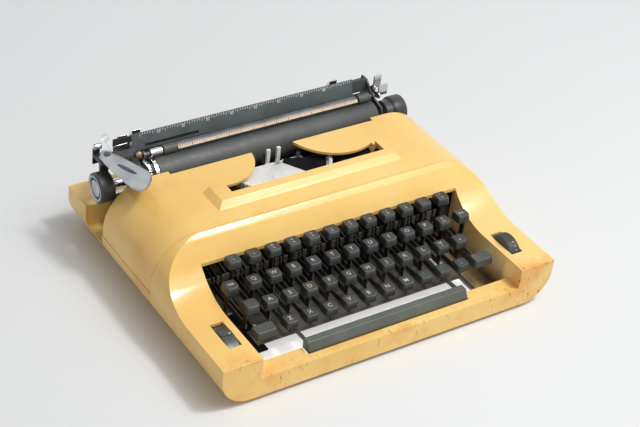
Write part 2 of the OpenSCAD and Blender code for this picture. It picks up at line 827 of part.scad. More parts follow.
module paper_table() {
    top = table_foot + [table_lean, table_rise];
    color("#4c5254") {
        along_x(table_left_x, table_right_x) polygon([table_foot, table_foot + [1.3, -0.4],
            top + [1.3, -0.4], top]);
        for (x = [-80, 80])
            block([x - 5, x + 5], [table_foot[0] + 1.2, rack_y[1]], [rack_z[0] - 2.5, rack_z[0]]);
    }
}

module platen_roller() {
    color("#4a4e50") difference() {
        x_rod(platen_left_x, platen_right_x, platen_y, platen_z, platen_r);
        x_rod(platen_left_x - 1, platen_right_x + 1, platen_y, platen_z, shaft_r + run);
    }
}

// Ratchet teeth, drawn round the origin
module ratchet() {
    step = 360 / ratchet_teeth;
    polygon([for (i = [0 : ratchet_teeth - 1]) for (h = [0, 1])
        (ratchet_r - 1.2 * h) * [cos((i + h * 0.8) * step), sin((i + h * 0.8) * step)]]);
}

module platen_shaft() {
    color("#c4c6c8") {
        x_rod(left_knob_x + knob_seat, right_knob_x - knob_seat, platen_y, platen_z, shaft_r);
        translate([0, platen_y, platen_z]) along_x(platen_left_x - 4, platen_left_x - 0.5) ratchet();
    }
}

module platen_knobs() {
    color("#343837") difference() {
        union() {
            x_rod(left_knob_x, left_knob_x + knob_l, platen_y, platen_z, knob_r);
            x_rod(right_knob_x - knob_l, right_knob_x, platen_y, platen_z, knob_r);
            x_rod(right_knob_x - knob_l - knob_hub_l, right_knob_x - knob_l + 1, platen_y, platen_z,
                knob_r - 2);
        }
        x_rod(left_knob_x + knob_seat - gap, right_knob_x - knob_seat + gap, platen_y, platen_z,
            shaft_r + run);
    }
}

module feed_rollers() {
    color("#5a5c5e") {
        x_rod(-end_plate_x + 0.5, end_plate_x - 0.5, feed_y, feed_z, feed_shaft_r);
        for (x = [-feed_roller_x, 0, feed_roller_x])
            x_rod(x - feed_roller_half_l, x + feed_roller_half_l, feed_y, feed_z, feed_r);
    }
}

module return_lever() {
    p = return_pivot;
    color("#cfd2d4") difference() {
        union() {
            translate([0, 0, return_z]) linear_extrude(return_t) {
                polygon([for (corner = return_blade) p + corner]);
                translate(p) circle(r = return_blade_r);
            }
            translate([p[0], p[1], bracket_z + 3 + gap]) cylinder(r = 6, h = return_z - bracket_z - 3);
        }
        translate([p[0], p[1], 0]) cylinder(r = return_post_r + run, h = above);
    }
}

module paper_bail() {
    strip_y = [bail_y - 3, bail_y + 3];
    color("#b9b2a4") {
        x_rod(-bail_arm_x, bail_arm_x, bail_y, bail_z, bail_rod_r);
        x_rod(bail_roller_x[0] - 12, bail_roller_x[0] - 1, bail_y, bail_z, bail_sleeve_r);
        block([bail_roller_x[0] + bail_roller_l + 1, bail_roller_x[1] - 1], strip_y,
            [bail_z - 0.4, bail_z + 0.8]);
        for (s = [-1, 1]) {
            arm = [s * (bail_arm_x - bail_arm_t), s * bail_arm_x];
            along_x(min(arm), max(arm)) difference() {
                union() {
                    translate(bail_pivot) circle(r = 4.5);
                    strip(bail_pivot, [bail_y, bail_z], 6);
                    translate([bail_y, bail_z]) circle(r = 3);
                }
                translate(bail_pivot) circle(r = bail_pin_r + run);
            }
        }
    }
}

module bail_rollers() {
    color("#262828") for (x = bail_roller_x) difference() {
        x_rod(x, x + bail_roller_l, bail_y, bail_z, bail_roller_r);
        x_rod(x - 1, x + bail_roller_l + 1, bail_y, bail_z, bail_rod_r + run);
    }
}

// Margin stop astride the rack, with a finger tab
module margin_stop(x) {
    low = rack_z[0] + gap;
    high = rack_z[1] + gap;
    color("#cfd2d4") {
        block([x, x + stop_w], [rack_y[0] - gap - 1.5, rack_y[0] - gap], [low, high + 1.6]);
        block([x, x + stop_w], [rack_y[1] + gap, rack_y[1] + gap + 1.5], [low, high + 1.6]);
        block([x, x + stop_w], [rack_y[0] - gap - 1.5, rack_y[1] + gap + 1.5], [high, high + 1.6]);
        block([x, x + stop_w], [rack_y[0], rack_y[0] + tab_t], [high, high + 6]);
    }
}

// Bent lever on the carriage side: a side plate on its pin and a finger tab
module side_lever(x0, dir, pivot, elbow, tab_top, tab_w) {
    side = [x0, x0 + dir * tab_t];
    tab = [x0, x0 + dir * tab_w];
    color("#cfd2d4") {
        along_x(min(side), max(side)) difference() {
            union() {
                translate(pivot) circle(r = 4);
                strip(pivot, elbow, 6);
                translate(elbow) circle(r = 3);
            }
            translate(pivot) circle(r = release_pin_r + run);
        }
        block([min(tab), max(tab)], [elbow[0] - tab_t / 2, elbow[0] + tab_t / 2], [elbow[1], tab_top]);
    }
}

module paper_release_lever() {
    side_lever(end_plate_x + gap, 1, release_pivot, [97, platen_z + 22], platen_z + 35, 8);
}

module carriage_release_lever() {
    side_lever(end_plate_x + 2 * gap + tab_t, 1, release_pivot, [91, platen_z + 17], platen_z + 28, 10);
}

module line_space_selector() {
    side_lever(-end_plate_x - gap, -1, selector_pivot, [108, platen_z + 20], platen_z + 31, 9);
}

base_tray();
front_shell();
top_cover();
rubber_feet();
casing_screws();
chassis_frame();
carriage_rails();
key_pivot_rod();
key_comb();
type_segment();
type_bars();
ribbon_vibrator();
ribbon_spool(-1);  // left_ribbon_spool
ribbon_spool(1);  // right_ribbon_spool
mainspring_drum();
carriage_frame();
paper_table();
platen_roller();
platen_shaft();
platen_knobs();
feed_rollers();
return_lever();
paper_bail();
bail_rollers();
margin_stop(stop_left_x);  // left_margin_stop
margin_stop(stop_right_x);  // right_margin_stop
paper_release_lever();
carriage_release_lever();
line_space_selector();
colour_selector();  // colour_selector_wheel
touch_selector();  // touch_selector_wheel
space_bar();
shift_keys();
special_key(lock_key, cap_w);  // shift_lock_key
special_key(tab_key, cap_w);  // tabulator_key
special_key(margin_key, cap_w);  // margin_release_key
key_row(0);  // number_row_keys
for (i = [0 : row_count[1] - 1]) row_key(1, i);
for (i = [0 : row_count[2] - 1]) row_key(2, i);
key_row(3);  // bottom_row_keys
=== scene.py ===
"""Yellow portable typewriter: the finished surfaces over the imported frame."""
import math

import bmesh
import bpy
from mathutils import Matrix, Vector


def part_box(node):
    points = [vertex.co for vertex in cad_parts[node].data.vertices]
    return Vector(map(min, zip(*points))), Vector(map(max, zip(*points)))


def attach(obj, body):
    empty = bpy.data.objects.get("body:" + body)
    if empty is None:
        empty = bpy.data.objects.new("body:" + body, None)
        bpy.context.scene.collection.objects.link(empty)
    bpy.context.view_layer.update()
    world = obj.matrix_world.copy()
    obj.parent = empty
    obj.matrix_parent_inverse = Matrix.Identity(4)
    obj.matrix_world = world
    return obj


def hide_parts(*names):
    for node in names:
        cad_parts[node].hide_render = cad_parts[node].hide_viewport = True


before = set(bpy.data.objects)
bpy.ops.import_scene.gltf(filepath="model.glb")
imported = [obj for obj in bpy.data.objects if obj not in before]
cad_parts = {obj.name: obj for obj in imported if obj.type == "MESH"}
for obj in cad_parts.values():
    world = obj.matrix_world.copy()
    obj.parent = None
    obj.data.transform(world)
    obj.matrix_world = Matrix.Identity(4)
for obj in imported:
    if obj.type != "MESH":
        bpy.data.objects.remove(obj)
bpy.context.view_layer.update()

MM = 0.001

# Finishes; the scales of noise are in features per metre

MOTTLE, SHEEN, TARNISH, DRAWN = 45.0, 130.0, 60.0, 260.0


def finish_nodes(name):
    """A new material with its shader and Object coordinates."""
    material = bpy.data.materials.new(name)
    material.use_nodes = True
    nodes = material.node_tree.nodes
    shader = nodes["Principled BSDF"]
    where = nodes.new("ShaderNodeTexCoord")
    return material, nodes, material.node_tree.links, shader, where.outputs["Object"]


def cloud(nodes, links, where, scale, detail, stretch=None):
    """Soft noise of one scale."""
    noise = nodes.new("ShaderNodeTexNoise")
    noise.inputs["Scale"].default_value = scale
    noise.inputs["Detail"].default_value = detail
    if stretch:
        mapping = nodes.new("ShaderNodeMapping")
        mapping.inputs["Scale"].default_value = stretch
        links.new(where, mapping.inputs["Vector"])
        where = mapping.outputs["Vector"]
    links.new(where, noise.inputs["Vector"])
    return noise.outputs["Fac"]


def ramp(nodes, links, source, stops):
    """A colour ramp over a grey value."""
    node = nodes.new("ShaderNodeValToRGB")
    element = node.color_ramp.elements
    while len(element) < len(stops):
        element.new(0.5)
    for spot, (place, colour) in zip(element, stops):
        spot.position = place
        spot.color = (*colour, 1.0)
    links.new(source, node.inputs["Fac"])
    return node.outputs["Color"]


def grey(value):
    return (value, value, value)


def patches(nodes, links, where, scale, detail, low, high, stretch=None):
    """Soft noise as a grey value; low and high are its levels, each a place in the noise and a grey."""
    stops = [(place, grey(value)) for place, value in (low, high)]
    return ramp(nodes, links, cloud(nodes, links, where, scale, detail, stretch), stops)


def blended(nodes, links, share, tone, colour):
    """Mixes a plain colour into another tone by a grey value."""
    node = nodes.new("ShaderNodeMix")
    node.data_type = "RGBA"
    links.new(tone, node.inputs[6])
    node.inputs[7].default_value = (*colour, 1.0)
    links.new(share, node.inputs[0])
    return node.outputs[2]


def bumped(nodes, links, shader, height, strength, depth):
    """Lets a grey value raise the surface, by a depth in metres."""
    node = nodes.new("ShaderNodeBump")
    node.inputs["Strength"].default_value = strength
    node.inputs["Distance"].default_value = depth
    links.new(height, node.inputs["Height"])
    links.new(node.outputs["Normal"], shader.inputs["Normal"])


def moulded(name, base, dark, rough, grain=900.0, grain_depth=0.00004, shine=0.5):
    """Moulded or painted surface with uneven tone, roughness and a fine grain."""
    material, nodes, links, shader, where = finish_nodes(name)
    tone = ramp(nodes, links, cloud(nodes, links, where, MOTTLE, 5.0), [(0.35, dark), (0.65, base)])
    links.new(tone, shader.inputs["Base Color"])
    gloss = patches(nodes, links, where, SHEEN, 4.0, (0.3, rough[0]), (0.7, rough[1]))
    links.new(gloss, shader.inputs["Roughness"])
    shader.inputs["Specular IOR Level"].default_value = shine
    bumped(nodes, links, shader, cloud(nodes, links, where, grain, 2.0), 0.35, grain_depth)
    return material


def metal(name, base, dark, rough, stretch):
    """Metal with a drawn grain along one axis and some tarnish."""
    material, nodes, links, shader, where = finish_nodes(name)
    tarnish = cloud(nodes, links, where, TARNISH, 6.0)
    links.new(ramp(nodes, links, tarnish, [(0.3, dark), (0.6, base)]), shader.inputs["Base Color"])
    drawn = cloud(nodes, links, where, DRAWN, 4.0, stretch)
    links.new(ramp(nodes, links, drawn, [(0.3, grey(rough[0])), (0.7, grey(rough[1]))]),
              shader.inputs["Roughness"])
    shader.inputs["Metallic"].default_value = 1.0
    bumped(nodes, links, shader, drawn, 0.15, 0.00003)
    return material


def product(nodes, links, first, second):
    """Multiplies two grey values."""
    node = nodes.new("ShaderNodeMath")
    node.operation = "MULTIPLY"
    links.new(first, node.inputs[0])
    links.new(second, node.inputs[1])
    return node.outputs[0]


def rising(nodes, links, where, axis, first, last, mirrored=False):
    """Grey value that goes from 0 to 1 between two places along an axis, in metres."""
    split = nodes.new("ShaderNodeSeparateXYZ")
    links.new(where, split.inputs[0])
    place = split.outputs[axis]
    if mirrored:
        size = nodes.new("ShaderNodeMath")
        size.operation = "ABSOLUTE"
        links.new(place, size.inputs[0])
        place = size.outputs[0]
    reach = nodes.new("ShaderNodeMapRange")
    reach.inputs["From Min"].default_value = first
    reach.inputs["From Max"].default_value = last
    links.new(place, reach.inputs["Value"])
    return reach.outputs["Result"]


WELL_DEPTH = (0.042, 0.010)
WELL_ENDS = (("X", 0.139, 0.136, True), ("Y", -0.116, -0.112, False), ("Y", 0.02, 0.0, False))
RAIL_FRONT = (-0.118, -0.134)
YELLOWS = [(0.34, (0.86, 0.53, 0.148)), (0.52, (0.93, 0.62, 0.200)), (0.68, (0.94, 0.66, 0.250))]
STAIN, RAIL_STAIN = (0.78, 0.37, 0.06), (0.80, 0.36, 0.075)
SPECK, SCUFF, DUST_AND_SHADE = (0.10, 0.06, 0.03), (0.26, 0.15, 0.055), (0.16, 0.115, 0.075)


def in_key_well(nodes, links, where):
    """Grey value that rises towards the floor of the key well."""
    depth = rising(nodes, links, where, "Z", *WELL_DEPTH)
    for end in WELL_ENDS:
        depth = product(nodes, links, depth, rising(nodes, links, where, *end))
    return depth


def aged_casing(name):
    """Yellow plastic with uneven tone, stains, specks, scuffs on the front rail, and dust with painted shade
    in the key well.
    """
    material, nodes, links, shader, where = finish_nodes(name)
    tone = ramp(nodes, links, cloud(nodes, links, where, 7.0, 4.0), YELLOWS)
    stain = patches(nodes, links, where, 16.0, 6.0, (0.57, 0.0), (0.73, 0.55))
    tone = blended(nodes, links, stain, tone, STAIN)
    front = rising(nodes, links, where, "Y", *RAIL_FRONT)
    grime = patches(nodes, links, where, 34.0, 6.0, (0.47, 0.0), (0.66, 0.75))
    tone = blended(nodes, links, product(nodes, links, grime, front), tone, RAIL_STAIN)
    speck = nodes.new("ShaderNodeTexVoronoi")
    speck.inputs["Scale"].default_value = 210.0
    links.new(where, speck.inputs["Vector"])
    dots = ramp(nodes, links, speck.outputs["Distance"], [(0.05, grey(1.0)), (0.09, grey(0.0))])
    worn = patches(nodes, links, where, 26.0, 5.0, (0.61, 0.0), (0.68, 0.8))
    tone = blended(nodes, links, product(nodes, links, dots, worn), tone, SPECK)
    scuffs = patches(nodes, links, where, 330.0, 3.0, (0.61, 0.0), (0.67, 0.7), (1.0, 0.4, 0.4))
    rubbed = product(nodes, links, front, patches(nodes, links, where, 24.0, 3.0, (0.46, 0.0), (0.56, 1.0)))
    tone = blended(nodes, links, product(nodes, links, scuffs, rubbed), tone, SCUFF)
    # Dust and painted shade: the tone darkens towards the floor of the key well
    well_patches = patches(nodes, links, where, 40.0, 5.0, (0.3, 0.7), (0.6, 1.0))
    dust_and_shade = product(nodes, links, in_key_well(nodes, links, where), well_patches)
    tone = blended(nodes, links, dust_and_shade, tone, DUST_AND_SHADE)
    links.new(tone, shader.inputs["Base Color"])
    gloss = patches(nodes, links, where, 60.0, 5.0, (0.3, 0.26), (0.7, 0.42))
    links.new(gloss, shader.inputs["Roughness"])
    shader.inputs["Specular IOR Level"].default_value = 0.12
    shader.inputs["Coat Weight"].default_value = 0.6
    shader.inputs["Coat Roughness"].default_value = 0.17
    bumped(nodes, links, shader, cloud(nodes, links, where, 420.0, 3.0), 0.2, 0.00005)
    return material


CASING = aged_casing("casing yellow plastic")
RUBBER = moulded("foot rubber", (0.035, 0.034, 0.033), (0.02, 0.02, 0.02), (0.65, 0.85))
ROLLER = moulded("platen rubber", (0.084, 0.089, 0.086), (0.060, 0.064, 0.063), (0.42, 0.58), 700.0, 0.00008)
CAP = moulded("key cap charcoal", (0.046, 0.050, 0.047), (0.030, 0.033, 0.031), (0.3, 0.46), 1500.0, 0.00003)
PLAIN_CAP = moulded("plain cap grey green", (0.060, 0.068, 0.060), (0.042, 0.048, 0.042), (0.3, 0.45), 1500.0)
BAR = moulded("space bar grey", (0.108, 0.121, 0.100), (0.082, 0.093, 0.076), (0.28, 0.42), 1500.0)
LEGEND = moulded("legend white", (0.58, 0.58, 0.53), (0.48, 0.47, 0.42), (0.4, 0.5))
YELLOW_LEGEND = moulded("legend yellow", (0.56, 0.50, 0.27), (0.46, 0.40, 0.20), (0.4, 0.5))
BLACK = moulded("black paint", (0.022, 0.023, 0.024), (0.012, 0.012, 0.013), (0.3, 0.5))
MATT = moulded("matt black", (0.012, 0.012, 0.013), (0.007, 0.007, 0.008), (0.75, 0.9), shine=0.06)
CHASSIS = moulded("chassis paint", (0.070, 0.074, 0.078), (0.045, 0.048, 0.050), (0.4, 0.6))
TABLE = moulded("paper table paint", (0.122, 0.143, 0.145), (0.090, 0.107, 0.109), (0.5, 0.65), 1200.0,
                shine=0.15)
GUARD = moulded("guard plate paint", (0.15, 0.13, 0.11), (0.07, 0.06, 0.05), (0.45, 0.6))
SCALE = moulded("bail scale enamel", (0.78, 0.62, 0.46), (0.66, 0.51, 0.37), (0.6, 0.75), shine=0.1)
BAIL = metal("bail steel", (0.17, 0.175, 0.18), (0.10, 0.10, 0.10), (0.55, 0.7), (0.05, 1.0, 1.0))
SCALE_INK = moulded("scale red ink", (0.30, 0.04, 0.025), (0.20, 0.03, 0.02), (0.5, 0.6), shine=0.2)
TABLE_INK = moulded("scale white ink", (0.70, 0.71, 0.69), (0.58, 0.59, 0.57), (0.5, 0.6))
STEEL = metal("steel", (0.55, 0.55, 0.56), (0.36, 0.35, 0.34), (0.22, 0.38), (0.05, 1.0, 1.0))
LEVER = metal("lever steel", (0.15, 0.145, 0.14), (0.05, 0.048, 0.045), (0.25, 0.42), (1.0, 0.05, 1.0))
CHROME = metal("satin chrome", (0.44, 0.46, 0.48), (0.34, 0.36, 0.38), (0.28, 0.40), (1.0, 0.08, 1.0))
BRIGHT = metal("bright chrome", (0.66, 0.67, 0.68), (0.50, 0.50, 0.50), (0.12, 0.22), (0.08, 1.0, 1.0))
# Near-white type: partly the nickel's own tone, partly painted reflection of the lamps
NICKEL_AND_REFLECTION = moulded("type nickel with painted reflection", (0.88, 0.88, 0.87), (0.76, 0.76, 0.74), (0.3, 0.45), 1500.0, 0.00003)
# Painted shade: stands in for the dark of a recess on the return lever's blade
RECESS_SHADE = metal("painted shade of blade recess", (0.13, 0.14, 0.15), (0.06, 0.065, 0.07), (0.3, 0.5), (1.0, 0.1, 1.0))
BRASS = metal("brass", (0.34, 0.25, 0.14), (0.18, 0.13, 0.07), (0.3, 0.45), (1.0, 1.0, 1.0))


# Building helpers; welds are in metres, angles in degrees

WELD, FINE_WELD = 1e-6, 1e-7
FLAT_ANGLE, EDGE_ANGLE = 0.3, 30.0
SMOOTH, SHEET_SMOOTH, MOULDED_SMOOTH = 35.0, 30.0, 40.0


class Shape:
    """Vertices and faces of one piece, gathered in millimetres."""

    def __init__(self):
        self.verts, self.faces, self.picks = [], [], []

    def add(self, part, pick=0, place=None):
        verts, faces = part
        first = len(self.verts)
        self.verts += [tuple(place @ Vector(v)) if place else tuple(v) for v in verts]
        self.faces += [tuple(i + first for i in face) for face in faces]
        self.picks += [pick] * len(faces)
        return self

    def piece(self, name, finishes, smooth=SMOOTH):
        mesh = bpy.data.meshes.new(name)
        mesh.from_pydata([tuple(c * MM for c in v) for v in self.verts], [], self.faces)
        for finish in finishes:
            mesh.materials.append(finish)
        mesh.polygons.foreach_set("material_index", self.picks)
        return shown(name, mesh, smooth)


def shown(name, mesh, smooth=SMOOTH):
    """An object at the origin for a finished mesh, shaded smooth up to an angle."""
    mesh.shade_smooth()
    mesh.set_sharp_from_angle(angle=math.radians(smooth))
    piece = bpy.data.objects.new(name, mesh)
    bpy.context.scene.collection.objects.link(piece)
    return piece


def settle(piece, body, slot, *nodes):
    """Lets a piece ride on its body and hides the CAD nodes it stands for; slot is not used."""
    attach(piece, body)
    if nodes:
        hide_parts(*nodes)


def loft(rings, loop=False):
    """Skins closed rings of equal length, which run anticlockwise about the direction of travel."""
    n = len(rings[0])
    count = len(rings)
    faces = []
    for k in range(count if loop else count - 1):
        a, b = k * n, (k + 1) % count * n
        faces += [(a + i, a + (i + 1) % n, b + (i + 1) % n, b + i) for i in range(n)]
    if not loop:
        faces.append(tuple(reversed(range(n))))
        faces.append(tuple((count - 1) * n + i for i in range(n)))
    return [v for ring in rings for v in ring], faces


CORNERS = ((1, 1, 0), (-1, 1, 90), (-1, -1, 180), (1, -1, 270))


def flat_ring(hx, hy, z, cx=0.0, cy=0.0):
    """A rectangle at one height."""
    return [(cx + sx * hx, cy + sy * hy, z) for sx, sy in ((-1, -1), (1, -1), (1, 1), (-1, 1))]


def round_rect(hx, hy, r, z, cx=0.0, cy=0.0, steps=4):
    """A rounded rectangle at one height."""
    ring = []
    for sx, sy, start in CORNERS:
        for k in range(steps + 1):
            a = math.radians(start + 90.0 * k / steps)
            ring.append((cx + sx * (hx - r) + r * math.cos(a), cy + sy * (hy - r) + r * math.sin(a), z))
    return ring


def turned_x(profile, y, z, steps=48, loop=False):
    """Turns a profile of (x, radius) about an axis along X."""
    rings = []
    for x, r in profile:
        rings.append([(x, y + r * math.cos(math.tau * k / steps), z + r * math.sin(math.tau * k / steps))
                      for k in range(steps)])
    return loft(rings, loop=loop)


def turned_z(profile, x, y, steps=40, loop=False):
    """Turns a profile of (z, radius) about an upright axis."""
    rings = []
    for z, r in profile:
        rings.append([(x + r * math.cos(math.tau * k / steps), y + r * math.sin(math.tau * k / steps), z)
                      for k in range(steps)])
    return loft(rings, loop=loop)


def wire(points, r, steps=10):
    """A round wire along a path."""
    path = [Vector(p) for p in points]
    rings = []
    side = Vector((0.0, 0.0, 1.0))
    for k, spot in enumerate(path):
        run = (path[min(k + 1, len(path) - 1)] - path[max(k - 1, 0)]).normalized()
        side = (side - run * side.dot(run))
        side = side.normalized() if side.length > 1e-4 else run.orthogonal().normalized()
        other = run.cross(side)
        turns = [math.tau * i / steps for i in range(steps)]
        rings.append([tuple(spot + (side * math.cos(a) + other * math.sin(a)) * r) for a in turns])
    return loft(rings)


def brick(x, y, z, edge=0.3):
    """A box between limits, with chamfered upright and level edges."""
    cx, cy = (x[0] + x[1]) / 2, (y[0] + y[1]) / 2
    hx, hy = (x[1] - x[0]) / 2, (y[1] - y[0]) / 2
    cut = edge * 0.6
    levels = ((z[0], cut), (z[0] + cut, 0.0), (z[1] - cut, 0.0), (z[1], cut))
    return loft([round_rect(hx - inset, hy - inset, edge, height, cx, cy, 2) for height, inset in levels])


def softened(node, name, width, finish, body, slot, segments=2, share=None):
    """Settles a copy of a CAD node with rounded edges; share gives each edge its part of the width."""
    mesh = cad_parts[node].data.copy()
    mesh.name = name
    work = bmesh.new()
    work.from_mesh(mesh)
    bmesh.ops.remove_doubles(work, verts=work.verts, dist=WELD)
    bmesh.ops.dissolve_limit(work, angle_limit=math.radians(FLAT_ANGLE), verts=work.verts, edges=work.edges)
    weight = work.edges.layers.float.new("bevel_weight_edge")
    for e in work.edges:
        if len(e.link_faces) == 2 and e.calc_face_angle(0.0) > math.radians(EDGE_ANGLE):
            e[weight] = share((e.verts[0].co + e.verts[1].co) / 2 / MM) if share else 1.0
    work.to_mesh(mesh)
    work.free()
    mesh.materials.clear()
    mesh.materials.append(finish)
    mesh.polygons.foreach_set("material_index", [0] * len(mesh.polygons))
    piece = shown(name, mesh)
    edge = piece.modifiers.new("Rounded edges", "BEVEL")
    edge.width = width * MM
    edge.segments = segments
    edge.limit_method = "WEIGHT"
    edge.harden_normals = True
    settle(piece, body, slot, node)


def copies_tree():
    """Geometry nodes that repeat a shape, each copy moved and turned one step further."""
    tree = bpy.data.node_groups.new("Stepped copies", "GeometryNodeTree")
    sockets = (("Geometry", "NodeSocketGeometry"), ("Count", "NodeSocketInt"), ("Start", "NodeSocketVector"),
               ("Move Step", "NodeSocketVector"), ("First Turn", "NodeSocketVector"),
               ("Turn Step", "NodeSocketVector"), ("Finish", "NodeSocketMaterial"))
    for name, kind in sockets:
        tree.interface.new_socket(name, in_out="INPUT", socket_type=kind)
    tree.interface.new_socket("Geometry", in_out="OUTPUT", socket_type="NodeSocketGeometry")
    nodes, link = tree.nodes, tree.links.new
    given = nodes.new("NodeGroupInput").outputs
    points = nodes.new("GeometryNodePoints")
    index = nodes.new("GeometryNodeInputIndex")
    link(given["Count"], points.inputs["Count"])

    def stepped(start, step):
        scale = nodes.new("ShaderNodeVectorMath")
        scale.operation = "SCALE"
        link(given[step], scale.inputs[0])
        link(index.outputs[0], scale.inputs["Scale"])
        total = nodes.new("ShaderNodeVectorMath")
        link(given[start], total.inputs[0])
        link(scale.outputs[0], total.inputs[1])
        return total.outputs[0]
    placed = nodes.new("GeometryNodeSetPosition")
    link(points.outputs[0], placed.inputs["Geometry"])
    link(stepped("Start", "Move Step"), placed.inputs["Position"])
    turn = nodes.new("FunctionNodeEulerToRotation")
    link(stepped("First Turn", "Turn Step"), turn.inputs[0])
    each = nodes.new("GeometryNodeInstanceOnPoints")
    link(placed.outputs[0], each.inputs["Points"])
    link(given["Geometry"], each.inputs["Instance"])
    link(turn.outputs[0], each.inputs["Rotation"])
    real = nodes.new("GeometryNodeRealizeInstances")
    link(each.outputs[0], real.inputs[0])
    coloured = nodes.new("GeometryNodeSetMaterial")
    link(real.outputs[0], coloured.inputs["Geometry"])
    link(given["Finish"], coloured.inputs["Material"])
    link(coloured.outputs[0], nodes.new("NodeGroupOutput").inputs[0])
    return tree


COPIES = copies_tree()
COPY_INPUT = {item.name: item.identifier for item in COPIES.interface.items_tree if item.in_out == "INPUT"}


def repeated(part, name, finish, count, start, move=(0, 0, 0), first=(0, 0, 0), turn=(0, 0, 0)):
    """One mesh of stepped copies; lengths in millimetres, turns in degrees."""
    source = Shape().add(part).piece(name, [finish])
    steps = source.modifiers.new("Copies", "NODES")
    steps.node_group = COPIES
    values = {"Count": count, "Start": [v * MM for v in start], "Move Step": [v * MM for v in move],
              "First Turn": [math.radians(v) for v in first], "Turn Step": [math.radians(v) for v in turn],
              "Finish": finish}
    for key, value in values.items():
        steps[COPY_INPUT[key]] = value
    graph = bpy.context.evaluated_depsgraph_get()
    mesh = bpy.data.meshes.new_from_object(source.evaluated_get(graph), depsgraph=graph)
    source.modifiers.clear()
    source.data = mesh
    mesh.name = name
    return source


WRITTEN = {}
LETTER_DEPTH, LETTER_WEIGHT = 0.00004, 0.00005


def written(text, size):
    """Plain lettering as a thin closed mesh round the origin, in millimetres."""
    if (text, size) not in WRITTEN:
        curve = bpy.data.curves.new("Lettering", "FONT")
        curve.body = text
        curve.size = size * MM
        curve.align_x = "CENTER"
        curve.align_y = "CENTER"
        curve.extrude, curve.offset = LETTER_DEPTH, LETTER_WEIGHT
        curve.resolution_u = 3
        holder = bpy.data.objects.new("Lettering", curve)
        bpy.context.scene.collection.objects.link(holder)
        graph = bpy.context.evaluated_depsgraph_get()
        mesh = bpy.data.meshes.new_from_object(holder.evaluated_get(graph), depsgraph=graph)
        work = bmesh.new()
        work.from_mesh(mesh)
        bmesh.ops.remove_doubles(work, verts=work.verts, dist=FINE_WELD)
        verts = [tuple(c / MM for c in v.co) for v in work.verts]
        faces = [tuple(v.index for v in f.verts) for f in work.faces]
        work.free()
        bpy.data.objects.remove(holder)
        bpy.data.meshes.remove(mesh)
        WRITTEN[(text, size)] = (verts, faces)
    return WRITTEN[(text, size)]


def outward(piece, weld=0.0):
    """Turns the faces of a piece outward; corners closer than weld, in metres, are merged first."""
    work = bmesh.new()
    work.from_mesh(piece.data)
    if weld:
        bmesh.ops.remove_doubles(work, verts=work.verts, dist=weld)
    bmesh.ops.recalc_face_normals(work, faces=work.faces)
    work.to_mesh(piece.data)
    work.free()


def built(name, finish, parts, body, slot, *nodes):
    """Settles a piece of one finish that is made of some parts."""
    shape = Shape()
    for part in parts:
        shape.add(part)
    settle(shape.piece(name, [finish]), body, slot, *nodes)


def limits(node):
    """Lowest and highest corner of a CAD node in millimetres."""
    low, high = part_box(node)
    return [c / MM for c in low], [c / MM for c in high]


# Casing

FRONT_Y, REST_Z, RAIL_Z = -136.0, 43.0, 23.5
CORNER_X, ARM_EDGE_X, ARM_END_Y = 137, 155, -60
NEAR, CLOSE, LOBE_NEAR, OPENING_NEAR = 0.5, 0.3, 0.6, 0.2
LOBES = ((-63.5, 70.0, 39.5), (62.0, 75.0, 45.0))
OPENING_X, OPENING_FRONT_Y = (-73, 82), 15
PLATEAU_X, PLATEAU_Y, PLATEAU_Z = 100, (-3, 31), 82.5


def surround_share(spot):
    """Edges of the keyboard surround: the outer corners are rounder than the rest."""
    if abs(spot.x) > CORNER_X and spot.y < FRONT_Y + NEAR:
        return 1.0
    if spot.z > REST_Z - NEAR and abs(spot.x) > ARM_EDGE_X and spot.y < ARM_END_Y:
        return 0.7
    if spot.y < FRONT_Y + NEAR or abs(spot.z - RAIL_Z) < CLOSE:
        return 0.55
    return 0.36


def cover_share(spot):
    """Edges of the cover: the plateau is rounded most, the type opening least."""
    lobe = min(abs(math.hypot(spot.x - x, spot.y - y) - r) for x, y, r in LOBES)
    end = min(abs(spot.x - x) for x in OPENING_X)
    if lobe < LOBE_NEAR or min(abs(spot.y - OPENING_FRONT_Y), end) < OPENING_NEAR:
        return 0.22
    if spot.z > PLATEAU_Z and abs(spot.x) < PLATEAU_X and PLATEAU_Y[0] < spot.y < PLATEAU_Y[1]:
        return 1.0
    return 0.4


softened("base_tray", "base_tray_shell", 1.0, CASING, "casing", "casing_yellow", 3)
softened("front_shell", "keyboard_surround", 3.0, CASING, "casing", "casing_yellow", 4, share=surround_share)
softened("top_cover", "lift_off_cover", 2.4, CASING, "cover", "casing_yellow", 4, share=cover_share)
softened("rubber_feet", "rubber_feet_round", 0.8, RUBBER, "casing", "foot_rubber", 3)
softened("casing_screws", "casing_screws_round", 0.3, STEEL, "casing", "steel")

# Chassis and mechanism

softened("chassis_frame", "chassis_plates", 0.3, CHASSIS, "casing", "chassis_paint")
softened("carriage_rails", "carriage_rails_ground", 0.4, STEEL, "casing", "steel")
softened("key_pivot_rod", "key_pivot_rod_ground", 0.3, STEEL, "casing", "steel")
softened("key_comb", "key_comb_guard", 0.25, GUARD, "casing", "comb_paint")
# Boxes are given by their limits along x, y and z
GUARD_STRIP = ((-104.0, 104.0), (-90.0, -71.5), (11.0, 12.4))
